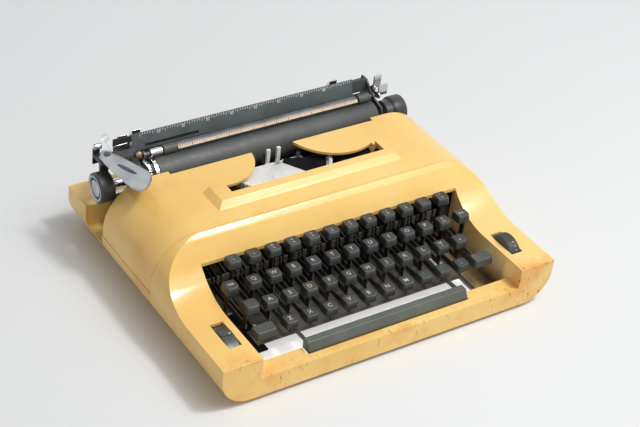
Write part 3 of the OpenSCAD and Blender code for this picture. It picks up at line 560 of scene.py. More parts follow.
# The left plate is a matt black sheet under the left shift key that paints the shade there
LEFT_SHADE_PLATE = ((-126.0, -97.0), (-96.0, -45.0), (9.0, 10.4))
guard_and_shade = Shape()
guard_and_shade.add(brick(*GUARD_STRIP))
guard_and_shade.add(brick(*LEFT_SHADE_PLATE), 1)
settle(guard_and_shade.piece("key_guard_apron_and_painted_shade", [GUARD, MATT]), "casing", "comb_paint")
softened("type_segment", "type_segment_casting", 0.3, NICKEL_AND_REFLECTION, "type_basket", "type_steel")
softened("ribbon_vibrator", "ribbon_vibrator_sheet", 0.25, BLACK, "ribbon_vibrator", "spool_black")
softened("mainspring_drum", "mainspring_drum_case", 0.4, STEEL, "mainspring_drum", "steel")
for side in ("left", "right"):
    node = side + "_ribbon_spool"
    softened(node, node + "_wound", 0.2, BLACK, side + "_spool", "spool_black")

# Type bars from head to segment: y and half width; their heads: z, half width and half depth
BASKET = (-4.0, 60.0)
BAR_COUNT, FAN_START, FAN = 44, -70, 140
BAR_LOW, BAR_SHOULDER, BAR_TOP, BAR_CUT = 70.0, 72.8, 73.0, 0.1
BAR_WIDTHS = ((-51.0, 1.36), (-36.0, 0.93), (-19.5, 0.47), (-8.0, 0.19))
HEAD_Y = -50.5
HEAD = ((BAR_LOW, 0.8, 1.3), (74.0, 1.0, 1.5), (76.6, 1.0, 1.5), (77.0, 0.8, 1.2))


def bar_section(y, half):
    """Cross-section of a type bar, with its upper edges taken off."""
    return [(-half, y, BAR_SHOULDER), (BAR_CUT - half, y, BAR_TOP), (half - BAR_CUT, y, BAR_TOP),
            (half, y, BAR_SHOULDER), (half, y, BAR_LOW), (-half, y, BAR_LOW)]


type_bar = Shape()
type_bar.add(loft([bar_section(y, half) for y, half in BAR_WIDTHS]))
type_bar.add(loft([round_rect(w, d, 0.3, z, 0.0, HEAD_Y, 2) for z, w, d in HEAD]))
bars = repeated((type_bar.verts, type_bar.faces), "type_bar_fan", NICKEL_AND_REFLECTION, BAR_COUNT, (*BASKET, 0.0),
                first=(0, 0, FAN_START), turn=(0, 0, FAN / (BAR_COUNT - 1)))
settle(bars, "type_basket", "type_steel", "type_bars")


def sector(inner, outer, first, last, low_z, high_z, steps=20):
    """A flat piece of a ring round the basket; angles in degrees, from the front to the right."""
    rings = []
    for k in range(steps + 1):
        a = math.radians(first + (last - first) * k / steps)
        rings.append([(BASKET[0] + r * math.sin(a), BASKET[1] - r * math.cos(a), z)
                      for r, z in ((inner, low_z), (outer, low_z), (outer, high_z), (inner, high_z))])
    return loft(rings)


# A matt black plate over the right part of the type-bar fan paints the shade that falls there
SHADE_PLATE_R, SHADE_PLATE_TURN, SHADE_PLATE_Z = (9.0, 47.0), (32.0, 70.0), (73.2, 74.0)
built("type_bar_painted_shade", MATT, [sector(*SHADE_PLATE_R, *SHADE_PLATE_TURN, *SHADE_PLATE_Z)], "type_basket", "spool_black")

# Keys

CAP_W, CAP_TOP, CAP_H, DISH = 12.2, 11.0, 7.6, 0.9
# Rings of a cap: height above its foot or depth below its top, inset and corner radius
CAP_SIDE = ((0.0, 0.3, 1.5), (0.3, 0.0, 1.8), (3.4, 0.15, 2.1), (6.2, 0.4, 2.4))
CAP_RIM = ((0.7, 0.5, 2.5), (0.3, 0.68, 2.5), (0.07, 1.0, 2.3), (0.0, 1.5, 2.0))
DISH_RINGS = (0.8, 0.55, 0.3, 0.1)
SHIFT_W, SHIFT_TOP, BOTTOM_TOP = 19.5, 41.0, 42.0
CAP_SLACK, CAP_EDGE = 0.1, 1.0
# Legends: size, then the shift to the right and to the back
LETTER, WORD, LEGEND_LIFT = 5.8, 3.2, 0.02
UPPER, LOWER = (3.9, 0.0, 2.4), (4.3, 0.0, -2.2)


def cap_part(x, y, top, width):
    """A moulded cap with soft corners and a dish that runs from front to back."""
    half = width / 2
    taper = (CAP_W - CAP_TOP) / 2
    deep = CAP_W / 2

    def dish(px):
        return DISH * max(0.0, 1 - ((px - x) / (half - taper)) ** 2)
    rings = []
    for rise, inset, r in CAP_SIDE:
        rings.append(round_rect(half - inset, deep - inset, r, top - CAP_H + rise, x, y, 5))
    for drop, inset, r in CAP_RIM:
        ring = round_rect(half - inset, deep - inset, r, 0.0, x, y, 5)
        rings.append([(px, py, top - drop - dish(px)) for px, py, _ in ring])
    edge = rings[-1]
    for share in DISH_RINGS:
        ring = [(x + (px - x) * share, y + (py - y) * share) for px, py, _ in edge]
        rings.append([(px, py, top - dish(px)) for px, py in ring])
    return loft(rings)


def legend_part(x, y, top, width, text, size, dx=0.0, dy=0.0):
    """Lettering laid into the dish."""
    verts, faces = written(text, size)
    reach = width / 2 - CAP_EDGE
    placed = []
    for vx, vy, vz in verts:
        px = vx + dx
        placed.append((x + px, y + vy + dy, top - DISH * (1 - (px / reach) ** 2) + vz + LEGEND_LIFT))
    return placed, faces


def lever_part(node, caps):
    """The sheet metal of a key node, without its caps."""
    work = bmesh.new()
    work.from_mesh(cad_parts[node].data)
    bmesh.ops.remove_doubles(work, verts=work.verts, dist=WELD)

    def in_cap(v):
        px, py, pz = v.co / MM
        return any(abs(px - x) < w / 2 + CAP_SLACK and abs(py - y) < CAP_W / 2 + CAP_SLACK
                   and pz > top - CAP_H - CAP_SLACK / 2 for x, y, top, w in caps)
    bmesh.ops.delete(work, geom=[f for f in work.faces if all(in_cap(v) for v in f.verts)], context="FACES")
    bmesh.ops.dissolve_limit(work, angle_limit=math.radians(FLAT_ANGLE), verts=work.verts, edges=work.edges)
    bmesh.ops.holes_fill(work, edges=[e for e in work.edges if e.is_boundary], sides=0)
    work.verts.index_update()
    part = ([tuple(v.co / MM) for v in work.verts], [tuple(v.index for v in f.verts) for f in work.faces])
    work.free()
    return part


def key_piece(node, body, caps, legends, cap=CAP, ink=LEGEND):
    """Caps, levers and lettering of one key node as one piece."""
    shape = Shape()
    shape.add(lever_part(node, caps), 1)
    for (x, y, top, width), words in zip(caps, legends):
        shape.add(cap_part(x, y, top, width))
        for word in words:
            shape.add(legend_part(x, y, top, width, *word), 2)
    piece = shape.piece(node + "_moulded", [cap, LEVER, ink], MOULDED_SMOOTH)
    settle(piece, body, "key_charcoal", node)


def row_caps(node, count, width=CAP_W, top=None):
    """Places of the caps in a node, which lie at its front; its top unless another is given."""
    low, high = limits(node)
    step = (high[0] - low[0] - width) / max(1, count - 1)
    return [(low[0] + width / 2 + i * step, low[1] + CAP_W / 2, top or high[2], width) for i in range(count)]


def pair(upper, lower):
    """Two signs on one cap."""
    return [(upper, *UPPER), (lower, *LOWER)]


numbers = [pair(u, l) for u, l in zip("!\"#$%_&'()*+", "1234567890-=")]
key_piece("number_row_keys", "number_row", row_caps("number_row_keys", 12), numbers, CAP, YELLOW_LEGEND)
bottom = [[(letter, LETTER)] for letter in "ZXCVBNM"] + [pair(";", ","), pair(":", "."), pair("?", "/")]
key_piece("bottom_row_keys", "bottom_row", row_caps("bottom_row_keys", 10, top=BOTTOM_TOP), bottom)
for letter in "qwertyuiopasdfghjkl":
    node = "key_" + letter
    ink = YELLOW_LEGEND if letter in "qd" else LEGEND
    key_piece(node, node, row_caps(node, 1), [[(letter.upper(), LETTER)]], CAP, ink)
for node, words in (("key_upper_end", pair("¼", "½")), ("key_home_10", pair("@", "¢")),
                    ("key_home_11", pair("°", "§"))):
    key_piece(node, node, row_caps(node, 1), [words])
key_piece("tabulator_key", "tabulator", row_caps("tabulator_key", 1), [[("TAB", WORD)]])
key_piece("margin_release_key", "margin_release", row_caps("margin_release_key", 1), [[("M R", WORD)]], CAP,
          YELLOW_LEGEND)
key_piece("shift_lock_key", "shift_lock", row_caps("shift_lock_key", 1), [[]], PLAIN_CAP)
key_piece("shift_keys", "shift_keys", row_caps("shift_keys", 2, SHIFT_W, SHIFT_TOP), [[], []], PLAIN_CAP)
softened("space_bar", "space_bar_moulded", 0.7, BAR, "space_bar", "space_bar_grey", 3)

# Selectors in the arm rests; profiles that are turned hold places along the axis and radii

softened("colour_selector_wheel", "colour_selector_rocker", 0.6, PLAIN_CAP, "colour_selector",
         "key_charcoal", 3)
ROCKER_TOP, RIDGE_X, RIDGE_Y, DOT_X = 44.5, -140.75, -100.0, -138.6
RIDGE = ((4.9, 0.9, -0.6), (4.9, 0.9, 0.5), (4.6, 0.55, 0.9))
ROCKER_DOT = ((0.5, 0.9), (1.1, 0.9), (1.3, 0.5))
ridge = Shape()
ridge.add(loft([flat_ring(hx, hy, ROCKER_TOP + z, RIDGE_X, RIDGE_Y) for hx, hy, z in RIDGE]))
ridge.add(turned_z([(ROCKER_TOP + z, r) for z, r in ROCKER_DOT], DOT_X, RIDGE_Y, 16), 1)
settle(ridge.piece("colour_selector_ridge", [PLAIN_CAP, LEGEND]), "colour_selector", "key_charcoal")

low, high = limits("touch_selector_wheel")
wx, wy, wz = [(a + b) / 2 for a, b in zip(low, high)]
RIM, RIB_TOP, RIB_COUNT, RIB_STEP = 15.9, 16.45, 40, 9
DRUM = ((-7.9, 2.0), (-5.4, 2.0), (-5.5, 11.0), (-5.5, RIM - 0.7), (-4.8, RIM), (4.8, RIM), (5.5, RIM - 0.7),
        (5.5, 11.0), (5.4, 2.0), (7.9, 2.0))
WHEEL_DOT = ((-0.2, 0.7), (0.4, 0.7), (0.55, 0.4))
DOT_COUNT, DOT_TURN, DOT_STEP, DOT_SHIFT = 3, 24, 14, 1.0
drum = turned_x([(wx + x, r) for x, r in DRUM], wy, wz, 72)
built("touch_selector_drum", PLAIN_CAP, [drum], "touch_selector", "key_charcoal", "touch_selector_wheel")
rib = loft([flat_ring(5.0, 0.55, RIM - 0.5), flat_ring(4.7, 0.3, RIB_TOP)])
ribs = repeated(rib, "touch_selector_ribs", PLAIN_CAP, RIB_COUNT, (wx, wy, wz), first=(RIB_STEP, 0, 0),
                turn=(RIB_STEP, 0, 0))
settle(ribs, "touch_selector", "key_charcoal")
dot = turned_z([(RIM + z, r) for z, r in WHEEL_DOT], 0.0, 0.0, 16)
dots = repeated(dot, "touch_selector_dots", LEGEND, DOT_COUNT, (wx + DOT_SHIFT, wy, wz),
                first=(DOT_TURN, 0, 0), turn=(DOT_STEP, 0, 0))
settle(dots, "touch_selector", "key_charcoal")

# Carriage

softened("carriage_frame", "carriage_plates", 0.35, CHASSIS, "carriage", "chassis_paint")
softened("feed_rollers", "feed_rollers_ground", 0.3, ROLLER, "feed_rollers", "roller_rubber")
for side in ("left", "right"):
    node = side + "_margin_stop"
    softened(node, node + "_pressed", 0.3, BRIGHT, node, "chrome")
for node, body in (("paper_release_lever", "paper_release"), ("carriage_release_lever", "carriage_release"),
                   ("line_space_selector", "line_space_selector")):
    softened(node, node + "_pressed", 0.35, BRIGHT, body, "chrome", 3)

BRACKET_FOOT = ((-158.0, -152.0), (97.0, 104.4), (91.6, 94.6))
BRACKET_PLATE = ((-158.2, -151.6), (103.0, 104.4), (84.5, 100.0))
BRACKET_POST, POST_PLACE = ((79.6, 2.6), (80.2, 4.0), (89.5, 4.2), (92.2, 4.2)), (-151.6, 95.4)
END_TAB = ((-157.8, -149.8), (102.2, 105.0), (98.2, 103.6))
bracket = [brick(*BRACKET_FOOT), brick(*BRACKET_PLATE), turned_z(BRACKET_POST, *POST_PLACE, 24)]
built("carriage_end_bracket", BLACK, bracket, "carriage", "chassis_paint")
built("carriage_end_tab", BRIGHT, [brick(*END_TAB, 1.2)], "carriage", "chassis_paint")

# A wire loop that faces the camera
STEM = [(-143.6, 96.4, 94.6), (-143.3, 101.0, 96.6), (-143.2, 105.5, 98.9)]
STEM_FOOT = ((94.2, 1.6), (95.4, 1.6), (95.8, 1.2))
WIRE_R, LOOP_R, LOOP_STEPS = 0.42, 2.8, 24
LOOP, LOOK = Vector((-143.7, 110.0, 103.3)), Vector((0.485, 0.653, -0.582)).normalized()
level = LOOK.cross(Vector((0.0, 0.0, 1.0))).normalized()
rise = level.cross(LOOK)
turns = [math.tau * k / LOOP_STEPS for k in range(LOOP_STEPS + 1)]
path = STEM + [tuple(LOOP + (level * math.sin(a) - rise * math.cos(a)) * LOOP_R) for a in turns]
loop = [wire(path, WIRE_R), turned_z(STEM_FOOT, *STEM[0][:2], 16)]
built("carriage_wire_loop", BRIGHT, loop, "carriage", "chassis_paint")

SCREW_X, SCREW_Z = -123.2, 94.6
SCREW_HEAD = ((0.0, 3.2), (2.6, 3.2), (3.4, 2.7), (3.9, 1.6), (4.1, 0.4))
WASHER = ((0.0, 3.9), (1.4, 3.9), (1.6, 3.4))
forward = Matrix.Rotation(math.radians(90), 4, "X")
screw = Shape()
for pick, (profile, y) in enumerate(((SCREW_HEAD, 88.4), (WASHER, 89.0))):
    screw.add(turned_z(profile, 0.0, 0.0, 28), pick, Matrix.Translation((SCREW_X, y, SCREW_Z)) @ forward)
settle(screw.piece("carriage_brass_screw", [BRASS, BLACK]), "carriage", "chassis_paint")

PLATEN_Y, PLATEN_Z, BORE, RING_W = 86.0, 72.0, 4.1, 4.0
ROLLER_LEFT = ((RING_W, BORE), (RING_W, 15.3), (4.5, 15.9), (5.2, 16.0))
ROLLER_RIGHT = ((-1.0, 16.0), (-0.2, 15.7), (0.0, 15.0), (0.0, BORE))
END_RING = ((0.0, BORE), (0.0, 15.0), (0.4, 15.6), (3.6, 15.6), (RING_W, 15.2), (RING_W, BORE))
low, high = limits("platen_roller")
profile = [(low[0] + x, r) for x, r in ROLLER_LEFT] + [(high[0] + x, r) for x, r in ROLLER_RIGHT]
roller = turned_x(profile, PLATEN_Y, PLATEN_Z, 96, True)
built("platen_rubber", ROLLER, [roller], "platen", "roller_rubber", "platen_roller")
ring = turned_x([(low[0] + x, r) for x, r in END_RING], PLATEN_Y, PLATEN_Z, 72, True)
built("platen_end_ring", BRIGHT, [ring], "platen", "steel")
softened("platen_shaft", "platen_shaft_ground", 0.25, BRIGHT, "platen", "steel")

# Knob profiles: distance from the outer face, radius and finish
KNOB_STEPS = 64
KNOB_FACE = ((0.5, 0.4, 2), (0.35, 7.0, 2), (0.6, 7.5, 2), (1.4, 7.6, 1), (1.4, 9.4, 1), (0.3, 9.6, 3),
             (0.0, 9.9, 3), (0.0, 11.6, 3), (0.3, 12.4, 0), (1.1, 13.3, 0), (1.8, 13.5, 0), (11.6, 13.5, 0),
             (12.2, 13.4, 0), (12.5, 12.9, 0), (13.5, 12.6, 0))
PLAIN_BACK = ((13.5, 4.3, 0), (4.0, 4.3, 0))
STEPPED_BACK = ((13.6, 11.5, 0), (21.0, 11.4, 0), (21.5, 10.9, 0), (21.5, 4.3, 0), (4.0, 4.3, 0))
low, high = limits("platen_knobs")
turns = [math.tau * k / KNOB_STEPS for k in range(KNOB_STEPS)]
knobs = Shape()
for outer, side, back in ((low[0], 1, PLAIN_BACK), (high[0], -1, STEPPED_BACK)):
    profile = KNOB_FACE + back
    verts, faces = loft([[(outer + side * x, PLATEN_Y + side * r * math.cos(a), PLATEN_Z + r * math.sin(a))
                          for a in turns] for x, r, _ in profile])
    picks = [profile[min(i // KNOB_STEPS + 1, len(profile) - 1)][2] for i in range(len(faces))]
    for face, pick in zip(faces, picks):
        knobs.add(([verts[i] for i in face], [tuple(range(len(face)))]), pick)
knob_piece = knobs.piece("platen_knobs_turned", [CAP, BLACK, STEEL, CHROME])
outward(knob_piece, FINE_WELD)
knob_piece.data.shade_smooth()
knob_piece.data.set_sharp_from_angle(angle=math.radians(SMOOTH))
settle(knob_piece, "platen", "key_charcoal", "platen_knobs")

# Paper table with its slot and scale

TABLE_FOOT, TABLE_LEAN, TABLE_RISE = (101.0, 88.0), 5.0, 14.5
low, high = limits("paper_table")


def on_table(x, share, out=0.0):
    """A point on the front of the sloping sheet; share runs from its foot to its top edge."""
    slope = math.atan2(TABLE_LEAN, TABLE_RISE)
    return (x, TABLE_FOOT[0] + TABLE_LEAN * share - out * math.cos(slope),
            TABLE_FOOT[1] + TABLE_RISE * share + out * math.sin(slope))


SLOT_X, SLOT_SHARE = (-109.0, -56.5), (0.13, 0.31)
SHEET_T, SHEET_EDGE, SHEET_TUCK = 1.2, 1.5, 0.25
LUG_X, LUG_Y, LUG_Z = (-80.0, 80.0), 108.3, (89.5, 92.0)
sheet = Shape()
across = [low[0], low[0] + SHEET_EDGE, SLOT_X[0], SLOT_X[0] + 1, SLOT_X[1] - 1, SLOT_X[1], 60.0,
          high[0] - SHEET_EDGE, high[0]]
along = [0.0, *SLOT_SHARE, 0.93, 1.0]
grid, index, cells = [], {}, []
for i in range(len(across) - 1):
    for j in range(len(along) - 1):
        slot_across = SLOT_X[0] < (across[i] + across[i + 1]) / 2 < SLOT_X[1]
        slot_along = SLOT_SHARE[0] < (along[j] + along[j + 1]) / 2 < SLOT_SHARE[1]
        if not (slot_across and slot_along):
            cells.append((i, j))
for back in (0, 1):
    for i, x in enumerate(across):
        for j, share in enumerate(along):
            index[(back, i, j)] = len(grid)
            tuck = SHEET_TUCK if (i in (0, len(across) - 1) or j in (0, len(along) - 1)) else 0.0
            grid.append(on_table(x, share, tuck - SHEET_T if back else -tuck))
faces = []
for i, j in cells:
    faces.append((index[(0, i, j)], index[(0, i + 1, j)], index[(0, i + 1, j + 1)], index[(0, i, j + 1)]))
    faces.append((index[(1, i, j)], index[(1, i, j + 1)], index[(1, i + 1, j + 1)], index[(1, i + 1, j)]))
edges = [(a, b) for face in faces[::2] for a, b in zip(face, face[1:] + face[:1])]
shift = len(across) * len(along)
faces += [(b, a, a + shift, b + shift) for a, b in edges if (b, a) not in edges]
sheet.add((grid, faces))
for x in LUG_X:
    sheet.add(loft([round_rect(5.0, 4.7, 1.0, z, x, LUG_Y) for z in LUG_Z]))
settle(sheet.piece("paper_table_sheet", [TABLE], SHEET_SMOOTH), "carriage", "chassis_paint", "paper_table")
# A black sheet behind the slot paints the shade seen through it
SLOT_SHADE = ((0.08, -1.3), (0.08, -2.2), (0.4, -2.2), (0.4, -1.3))
slot_shade = loft([[on_table(x, share, out) for share, out in SLOT_SHADE] for x in (SLOT_X[0] - 2, SLOT_X[1] + 2)])
built("paper_table_slot_painted_shade", BLACK, [slot_shade], "carriage", "chassis_paint")

PAN, PAN_END, PAN_SHEET = ((101.6, 88.4), (102.6, 86.0), (103.2, 82.0), (103.4, 76.0)), 121.4, 0.8
PAN_LUG_END, PAN_LUG = 121.6, ((105.4, 106.4), (87.0, 100.5))
pan = Shape()
pan.add(loft([[(x, y, z) for y, z in PAN] + [(x, y + PAN_SHEET, z) for y, z in reversed(PAN)]
              for x in (low[0] + 1.0, PAN_END)]))
pan.add(brick((high[0] - 0.5, PAN_LUG_END), *PAN_LUG))
settle(pan.piece("paper_pan_sheet", [TABLE], SHEET_SMOOTH), "carriage", "chassis_paint")

# Wing of the table: x, y, lower and upper edge
WING = ((-121.2, 105.2, 95.8, 102.2), (-124.6, 101.7, 97.6, 104.4), (-130.5, 101.4, 98.0, 105.0),
        (-140.6, 101.2, 98.6, 105.6))
WING_SHEET, WING_FOOT = 0.9, ((-140.4, -126.4), (101.2, 102.2), (90.2, 98.9))
# The wing sheet is black as painted shade, for the shadow the table's end lies in; the table itself is grey
wing = Shape()
wing.add(loft([[(x, y, low_z), (x, y, high_z), (x, y + WING_SHEET, high_z), (x, y + WING_SHEET, low_z)]
               for x, y, low_z, high_z in WING]))
wing.add(brick(*WING_FOOT), 1)
settle(wing.piece("paper_table_wing_in_painted_shade", [BLACK, STEEL], SHEET_SMOOTH), "carriage", "chassis_paint")

SCALE_STEP, SCALE_START, SCALE_LENGTH = 2.43, -112.9, 218
FIGURE_START, FIGURE_COUNT, FIGURE_SIZE = -95.2, 8, 3.7
lean = math.degrees(math.atan2(TABLE_RISE, TABLE_LEAN))


def tick(length, wide, deep):
    """One mark that runs down from the origin; wide and deep are half measures."""
    return loft([[(-wide, -length, z), (wide, -length, z), (wide, 0.0, z), (-wide, 0.0, z)]
                 for z in (-deep, deep)])


def scale_marks(prefix, finish, start, reach, turn, deep, kinds, body, slot):
    """Marks along X, one piece for each kind: name, length, half width and steps to the next mark."""
    for name, length, wide, skip in kinds:
        count = int(reach / (SCALE_STEP * skip)) + 1
        marks = repeated(tick(length, wide, deep), prefix + name, finish, count, start,
                         move=(SCALE_STEP * skip, 0, 0), first=(turn, 0, 0))
        settle(marks, body, slot)


scale_marks("paper_scale_", TABLE_INK, on_table(SCALE_START, 0.97, 0.02), SCALE_LENGTH, lean, 0.06,
            (("short", 1.6, 0.33, 1), ("middle", 2.6, 0.36, 5)), "carriage", "chassis_paint")
figures = Shape()
tilt = Matrix.Rotation(math.radians(lean), 4, "X")
for k in range(FIGURE_COUNT):
    place = on_table(FIGURE_START + SCALE_STEP * 10 * k, 0.80, 0.05)
    figures.add(written(str(10 * k + 10), FIGURE_SIZE), 0, Matrix.Translation(place) @ tilt)
settle(figures.piece("paper_scale_figures", [TABLE_INK]), "carriage", "chassis_paint")

# Paper bail

softened("paper_bail", "paper_bail_rod", 0.25, BAIL, "paper_bail", "scale_steel")
BAIL_Y, BAIL_Z = 88.0, 92.503
STRIP_X, STRIP = (-86.3, 99.3), ((83.6, 92.4), (84.1, 92.1), (90.8, 93.2), (90.8, 95.3), (87.3, 95.3))
STRIP_FOOT, STRIP_LEAN, STRIP_RISE = (83.6, 92.4), 3.7, 2.9
BAND = ((0.1, 0.1), (0.1, -0.05), (0.66, -0.05), (0.66, 0.1))
BAIL_SCALE_START, BAIL_SCALE_LENGTH = -84.5, 182
SLEEVE = ((-112.2, 1.6), (-112.2, 3.0), (-111.8, 3.5), (-107.2, 3.5), (-107.0, 3.9), (-105.2, 3.9),
          (-105.0, 3.5), (-101.2, 3.5), (-100.9, 3.0), (-100.9, 1.6))
BAIL_ROLLER_X = (-100.0, 101.0)
BAIL_ROLLER = ((0.0, 1.56), (0.0, 3.4), (0.5, 4.1), (1.2, 4.2), (11.8, 4.2), (12.5, 4.1), (13.0, 3.4),
               (13.0, 1.56))


def on_bail(x, share, out=0.0):
    """A point on the sloping front of the bail's strip; share runs from its lower to its upper edge."""
    slope = math.atan2(STRIP_RISE, STRIP_LEAN)
    return (x, STRIP_FOOT[0] + STRIP_LEAN * share - out * math.sin(slope),
            STRIP_FOOT[1] + STRIP_RISE * share + out * math.cos(slope))


band = Shape()
band.add(loft([[(x, y, z) for y, z in STRIP] for x in STRIP_X]))
band.add(loft([[on_bail(x, share, out) for share, out in BAND] for x in STRIP_X]), 1)
settle(band.piece("bail_scale_band", [BAIL, SCALE]), "paper_bail", "scale_steel")
strip_tilt = math.degrees(math.atan2(STRIP_RISE, STRIP_LEAN))
scale_marks("bail_scale_", SCALE_INK, on_bail(BAIL_SCALE_START, 0.64, 0.12), BAIL_SCALE_LENGTH, strip_tilt,
            0.05, (("short", 1.4, 0.24, 1), ("long", 2.4, 0.3, 5)), "paper_bail", "scale_steel")
sleeve = turned_x(SLEEVE, BAIL_Y, BAIL_Z, 40, True)
built("bail_nickel_sleeve", BRIGHT, [sleeve], "paper_bail", "scale_steel")
rollers = [turned_x([(start + x, r) for x, r in BAIL_ROLLER], BAIL_Y, BAIL_Z, 40, True)
           for start in BAIL_ROLLER_X]
built("bail_rubber_rollers", ROLLER, rollers, "bail_rollers", "roller_rubber", "bail_rollers")

# Return lever; rows of its blade from back to front are y, left and right edge

STATIONS = ((99.6, -151.5, -148.5), (98.6, -154.0, -146.0), (96.5, -156.2, -143.4), (93.0, -157.0, -141.6),
            (85.0, -156.5, -138.4), (77.0, -156.0, -135.2), (69.0, -155.4, -132.0), (61.0, -154.6, -128.9),
            (56.0, -154.0, -128.0), (51.0, -153.3, -129.6), (46.5, -152.4, -132.4), (42.5, -151.2, -135.7),
            (39.6, -149.6, -138.8), (37.6, -147.6, -141.4), (36.6, -145.6, -143.4))
COLUMNS, BLADE_Z, BLADE_SHEET, CROWN = 10, 97.9, 0.9, 1.1
FOLD_DROP, FOLD_FROM, FOLD_REACH = -1.4, 0.86, 0.14
PIVOT, PIVOT_BUSH = (-150.0, 93.0), ((95.6, 3.1), (95.6, 6.0), (97.6, 6.0), (97.6, 3.1))
RECESS, RECESS_HALF, RECESS_STEPS = (Vector((-149.0, 76.0)), Vector((-141.2, 56.4))), 2.3, 32
RECESS_LEVELS = ((1.0, 98.3), (1.0, 99.02), (0.93, 99.08))


def blade_row(y, left, right, drop):
    """Points across the blade, which is crowned and has its edges folded down."""
    row = []
    for k in range(COLUMNS + 1):
        u = k / COLUMNS
        crown = CROWN * math.sin(math.pi * u) ** 0.7
        fold = FOLD_DROP * max(0.0, abs(2 * u - 1) - FOLD_FROM) / FOLD_REACH
        row.append((left + (right - left) * u, y, BLADE_Z + crown + fold - drop))
    return row


blade = Shape()
blade.add(loft([blade_row(y, left, right, 0.0) + blade_row(y, left, right, BLADE_SHEET)[::-1]
                for y, left, right in STATIONS]))
blade.add(turned_z(PIVOT_BUSH, *PIVOT, 36, True))
run = (RECESS[1] - RECESS[0]).normalized()
middle, reach = (RECESS[0] + RECESS[1]) / 2, (RECESS[1] - RECESS[0]).length / 2


def recess_ring(r, z):
    """An oval along the blade at one height; r is its share of the full size."""
    ring = []
    for k in range(RECESS_STEPS):
        a = math.tau * k / RECESS_STEPS
        across_blade = Vector((-run.y, run.x)) * (RECESS_HALF * r * math.sin(a))
        spot = middle + run * (reach * r * math.cos(a)) + across_blade
        ring.append((spot.x, spot.y, z))
    return ring


# The oval barely rises above the blade; its dark finish is painted shade for a recess
blade.add(loft([recess_ring(r, z) for r, z in RECESS_LEVELS]), 1)
lever_piece = blade.piece("return_lever_blade", [CHROME, RECESS_SHADE], MOULDED_SMOOTH)
outward(lever_piece)
settle(lever_piece, "return_lever", "chrome", "return_lever")

# Stage, light and camera

FLOOR_HALF, FLOOR_TONES = 6, [(0.3, (0.75, 0.77, 0.78)), (0.7, (0.78, 0.795, 0.805))]
GLOW_X, GLOW_Y, GLOW_Z, GLOW_STRENGTH = 0.110, (-0.1185, -0.055), 0.0003, 0.52


def plane(name, corners, material):
    """A flat piece of the stage; corners in metres."""
    mesh = bpy.data.meshes.new(name)
    mesh.from_pydata(corners, [], [(0, 1, 2, 3)])
    mesh.materials.append(material)
    piece = bpy.data.objects.new(name, mesh)
    bpy.context.scene.collection.objects.link(piece)
    return piece


floor_material, nodes, links, shader, where = finish_nodes("studio floor")
links.new(ramp(nodes, links, cloud(nodes, links, where, 1.2, 2.0), FLOOR_TONES), shader.inputs["Base Color"])
shader.inputs["Roughness"].default_value = 0.6
floor = plane("studio_floor", flat_ring(FLOOR_HALF, FLOOR_HALF, 0), floor_material)

# A glowing plane under the key well, no lamp: it paints light on the floor seen between the keys, where shade
# would fall
glow_material, _, _, shader, _ = finish_nodes("painted light under keys")
shader.inputs["Emission Color"].default_value = (1.0, 1.0, 1.0, 1.0)
shader.inputs["Emission Strength"].default_value = GLOW_STRENGTH
glow = plane("painted_light_under_keys", [(-GLOW_X, GLOW_Y[0], GLOW_Z), (GLOW_X, GLOW_Y[0], GLOW_Z),
                             (GLOW_X, GLOW_Y[1], GLOW_Z), (-GLOW_X, GLOW_Y[1], GLOW_Z)], glow_material)

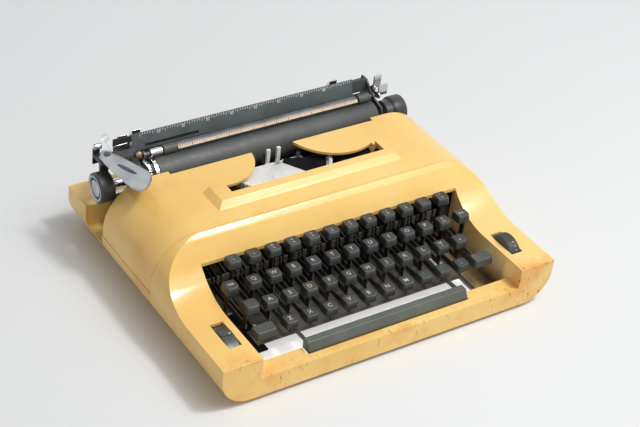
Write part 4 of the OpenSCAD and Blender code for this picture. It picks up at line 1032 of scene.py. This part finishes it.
# The world is soft light for the surfaces and plain white where it is seen or mirrored
SKY, SKY_STRENGTH = (0.97, 0.98, 1.0, 1.0), 0.36
world = bpy.data.worlds.new("studio")
world.use_nodes = True
nodes, links = world.node_tree.nodes, world.node_tree.links
soft = nodes["Background"]
soft.inputs["Color"].default_value = SKY
soft.inputs["Strength"].default_value = SKY_STRENGTH
white = nodes.new("ShaderNodeBackground")
white.inputs["Color"].default_value = (1.0, 1.0, 1.0, 1.0)
seen = nodes.new("ShaderNodeLightPath")
direct = seen.outputs["Is Camera Ray"]
for ray in ("Is Glossy Ray", "Is Transmission Ray"):
    either = nodes.new("ShaderNodeMath")
    either.operation = "MAXIMUM"
    links.new(direct, either.inputs[0])
    links.new(seen.outputs[ray], either.inputs[1])
    direct = either.outputs[0]
choice = nodes.new("ShaderNodeMixShader")
links.new(direct, choice.inputs[0])
links.new(soft.outputs[0], choice.inputs[1])
links.new(white.outputs[0], choice.inputs[2])
links.new(choice.outputs[0], nodes["World Output"].inputs["Surface"])
bpy.context.scene.world = world


LAMP_AIM = (0.0, 0.0, 0.05)


def lamp(name, place, size, power, tint):
    """A rectangular lamp that points at the part; metres and watts."""
    data = bpy.data.lights.new(name, "AREA")
    data.shape = "RECTANGLE"
    data.size, data.size_y = size
    data.energy = power
    data.color = tint
    lamp_object = bpy.data.objects.new(name, data)
    lamp_object.location = place
    lamp_object.rotation_euler = (Vector(LAMP_AIM) - Vector(place)).to_track_quat("-Z", "Y").to_euler()
    bpy.context.scene.collection.objects.link(lamp_object)


lamp("right_lamp", (0.70, -0.68, 2.03), (0.30, 0.30), 18.0, (1.0, 0.99, 0.97))
lamp("wide_softbox", (0.70, -1.05, 2.36), (1.7, 1.7), 34.0, (1.0, 0.99, 0.98))

# The camera as solved from the photo
SENSOR, LENS, CAMERA_PLACE = 36.0, 91.09, (-0.67196, -0.91670, 0.86745)
CAMERA_LOOK, CAMERA_UP = (0.48507, 0.65263, -0.58205), (0.24776, 0.53576, 0.80720)
camera_data = bpy.data.cameras.new("photo_camera")
camera_data.sensor_width, camera_data.lens = SENSOR, LENS
camera = bpy.data.objects.new("photo_camera", camera_data)
look = Vector(CAMERA_LOOK).normalized()
right = look.cross(Vector(CAMERA_UP)).normalized()
turn = Matrix((right, right.cross(look), -look)).transposed().to_4x4()
camera.matrix_world = Matrix.Translation(CAMERA_PLACE) @ turn
bpy.context.scene.collection.objects.link(camera)
bpy.context.scene.camera = camera

bpy.context.scene.view_settings.view_transform = "Standard"
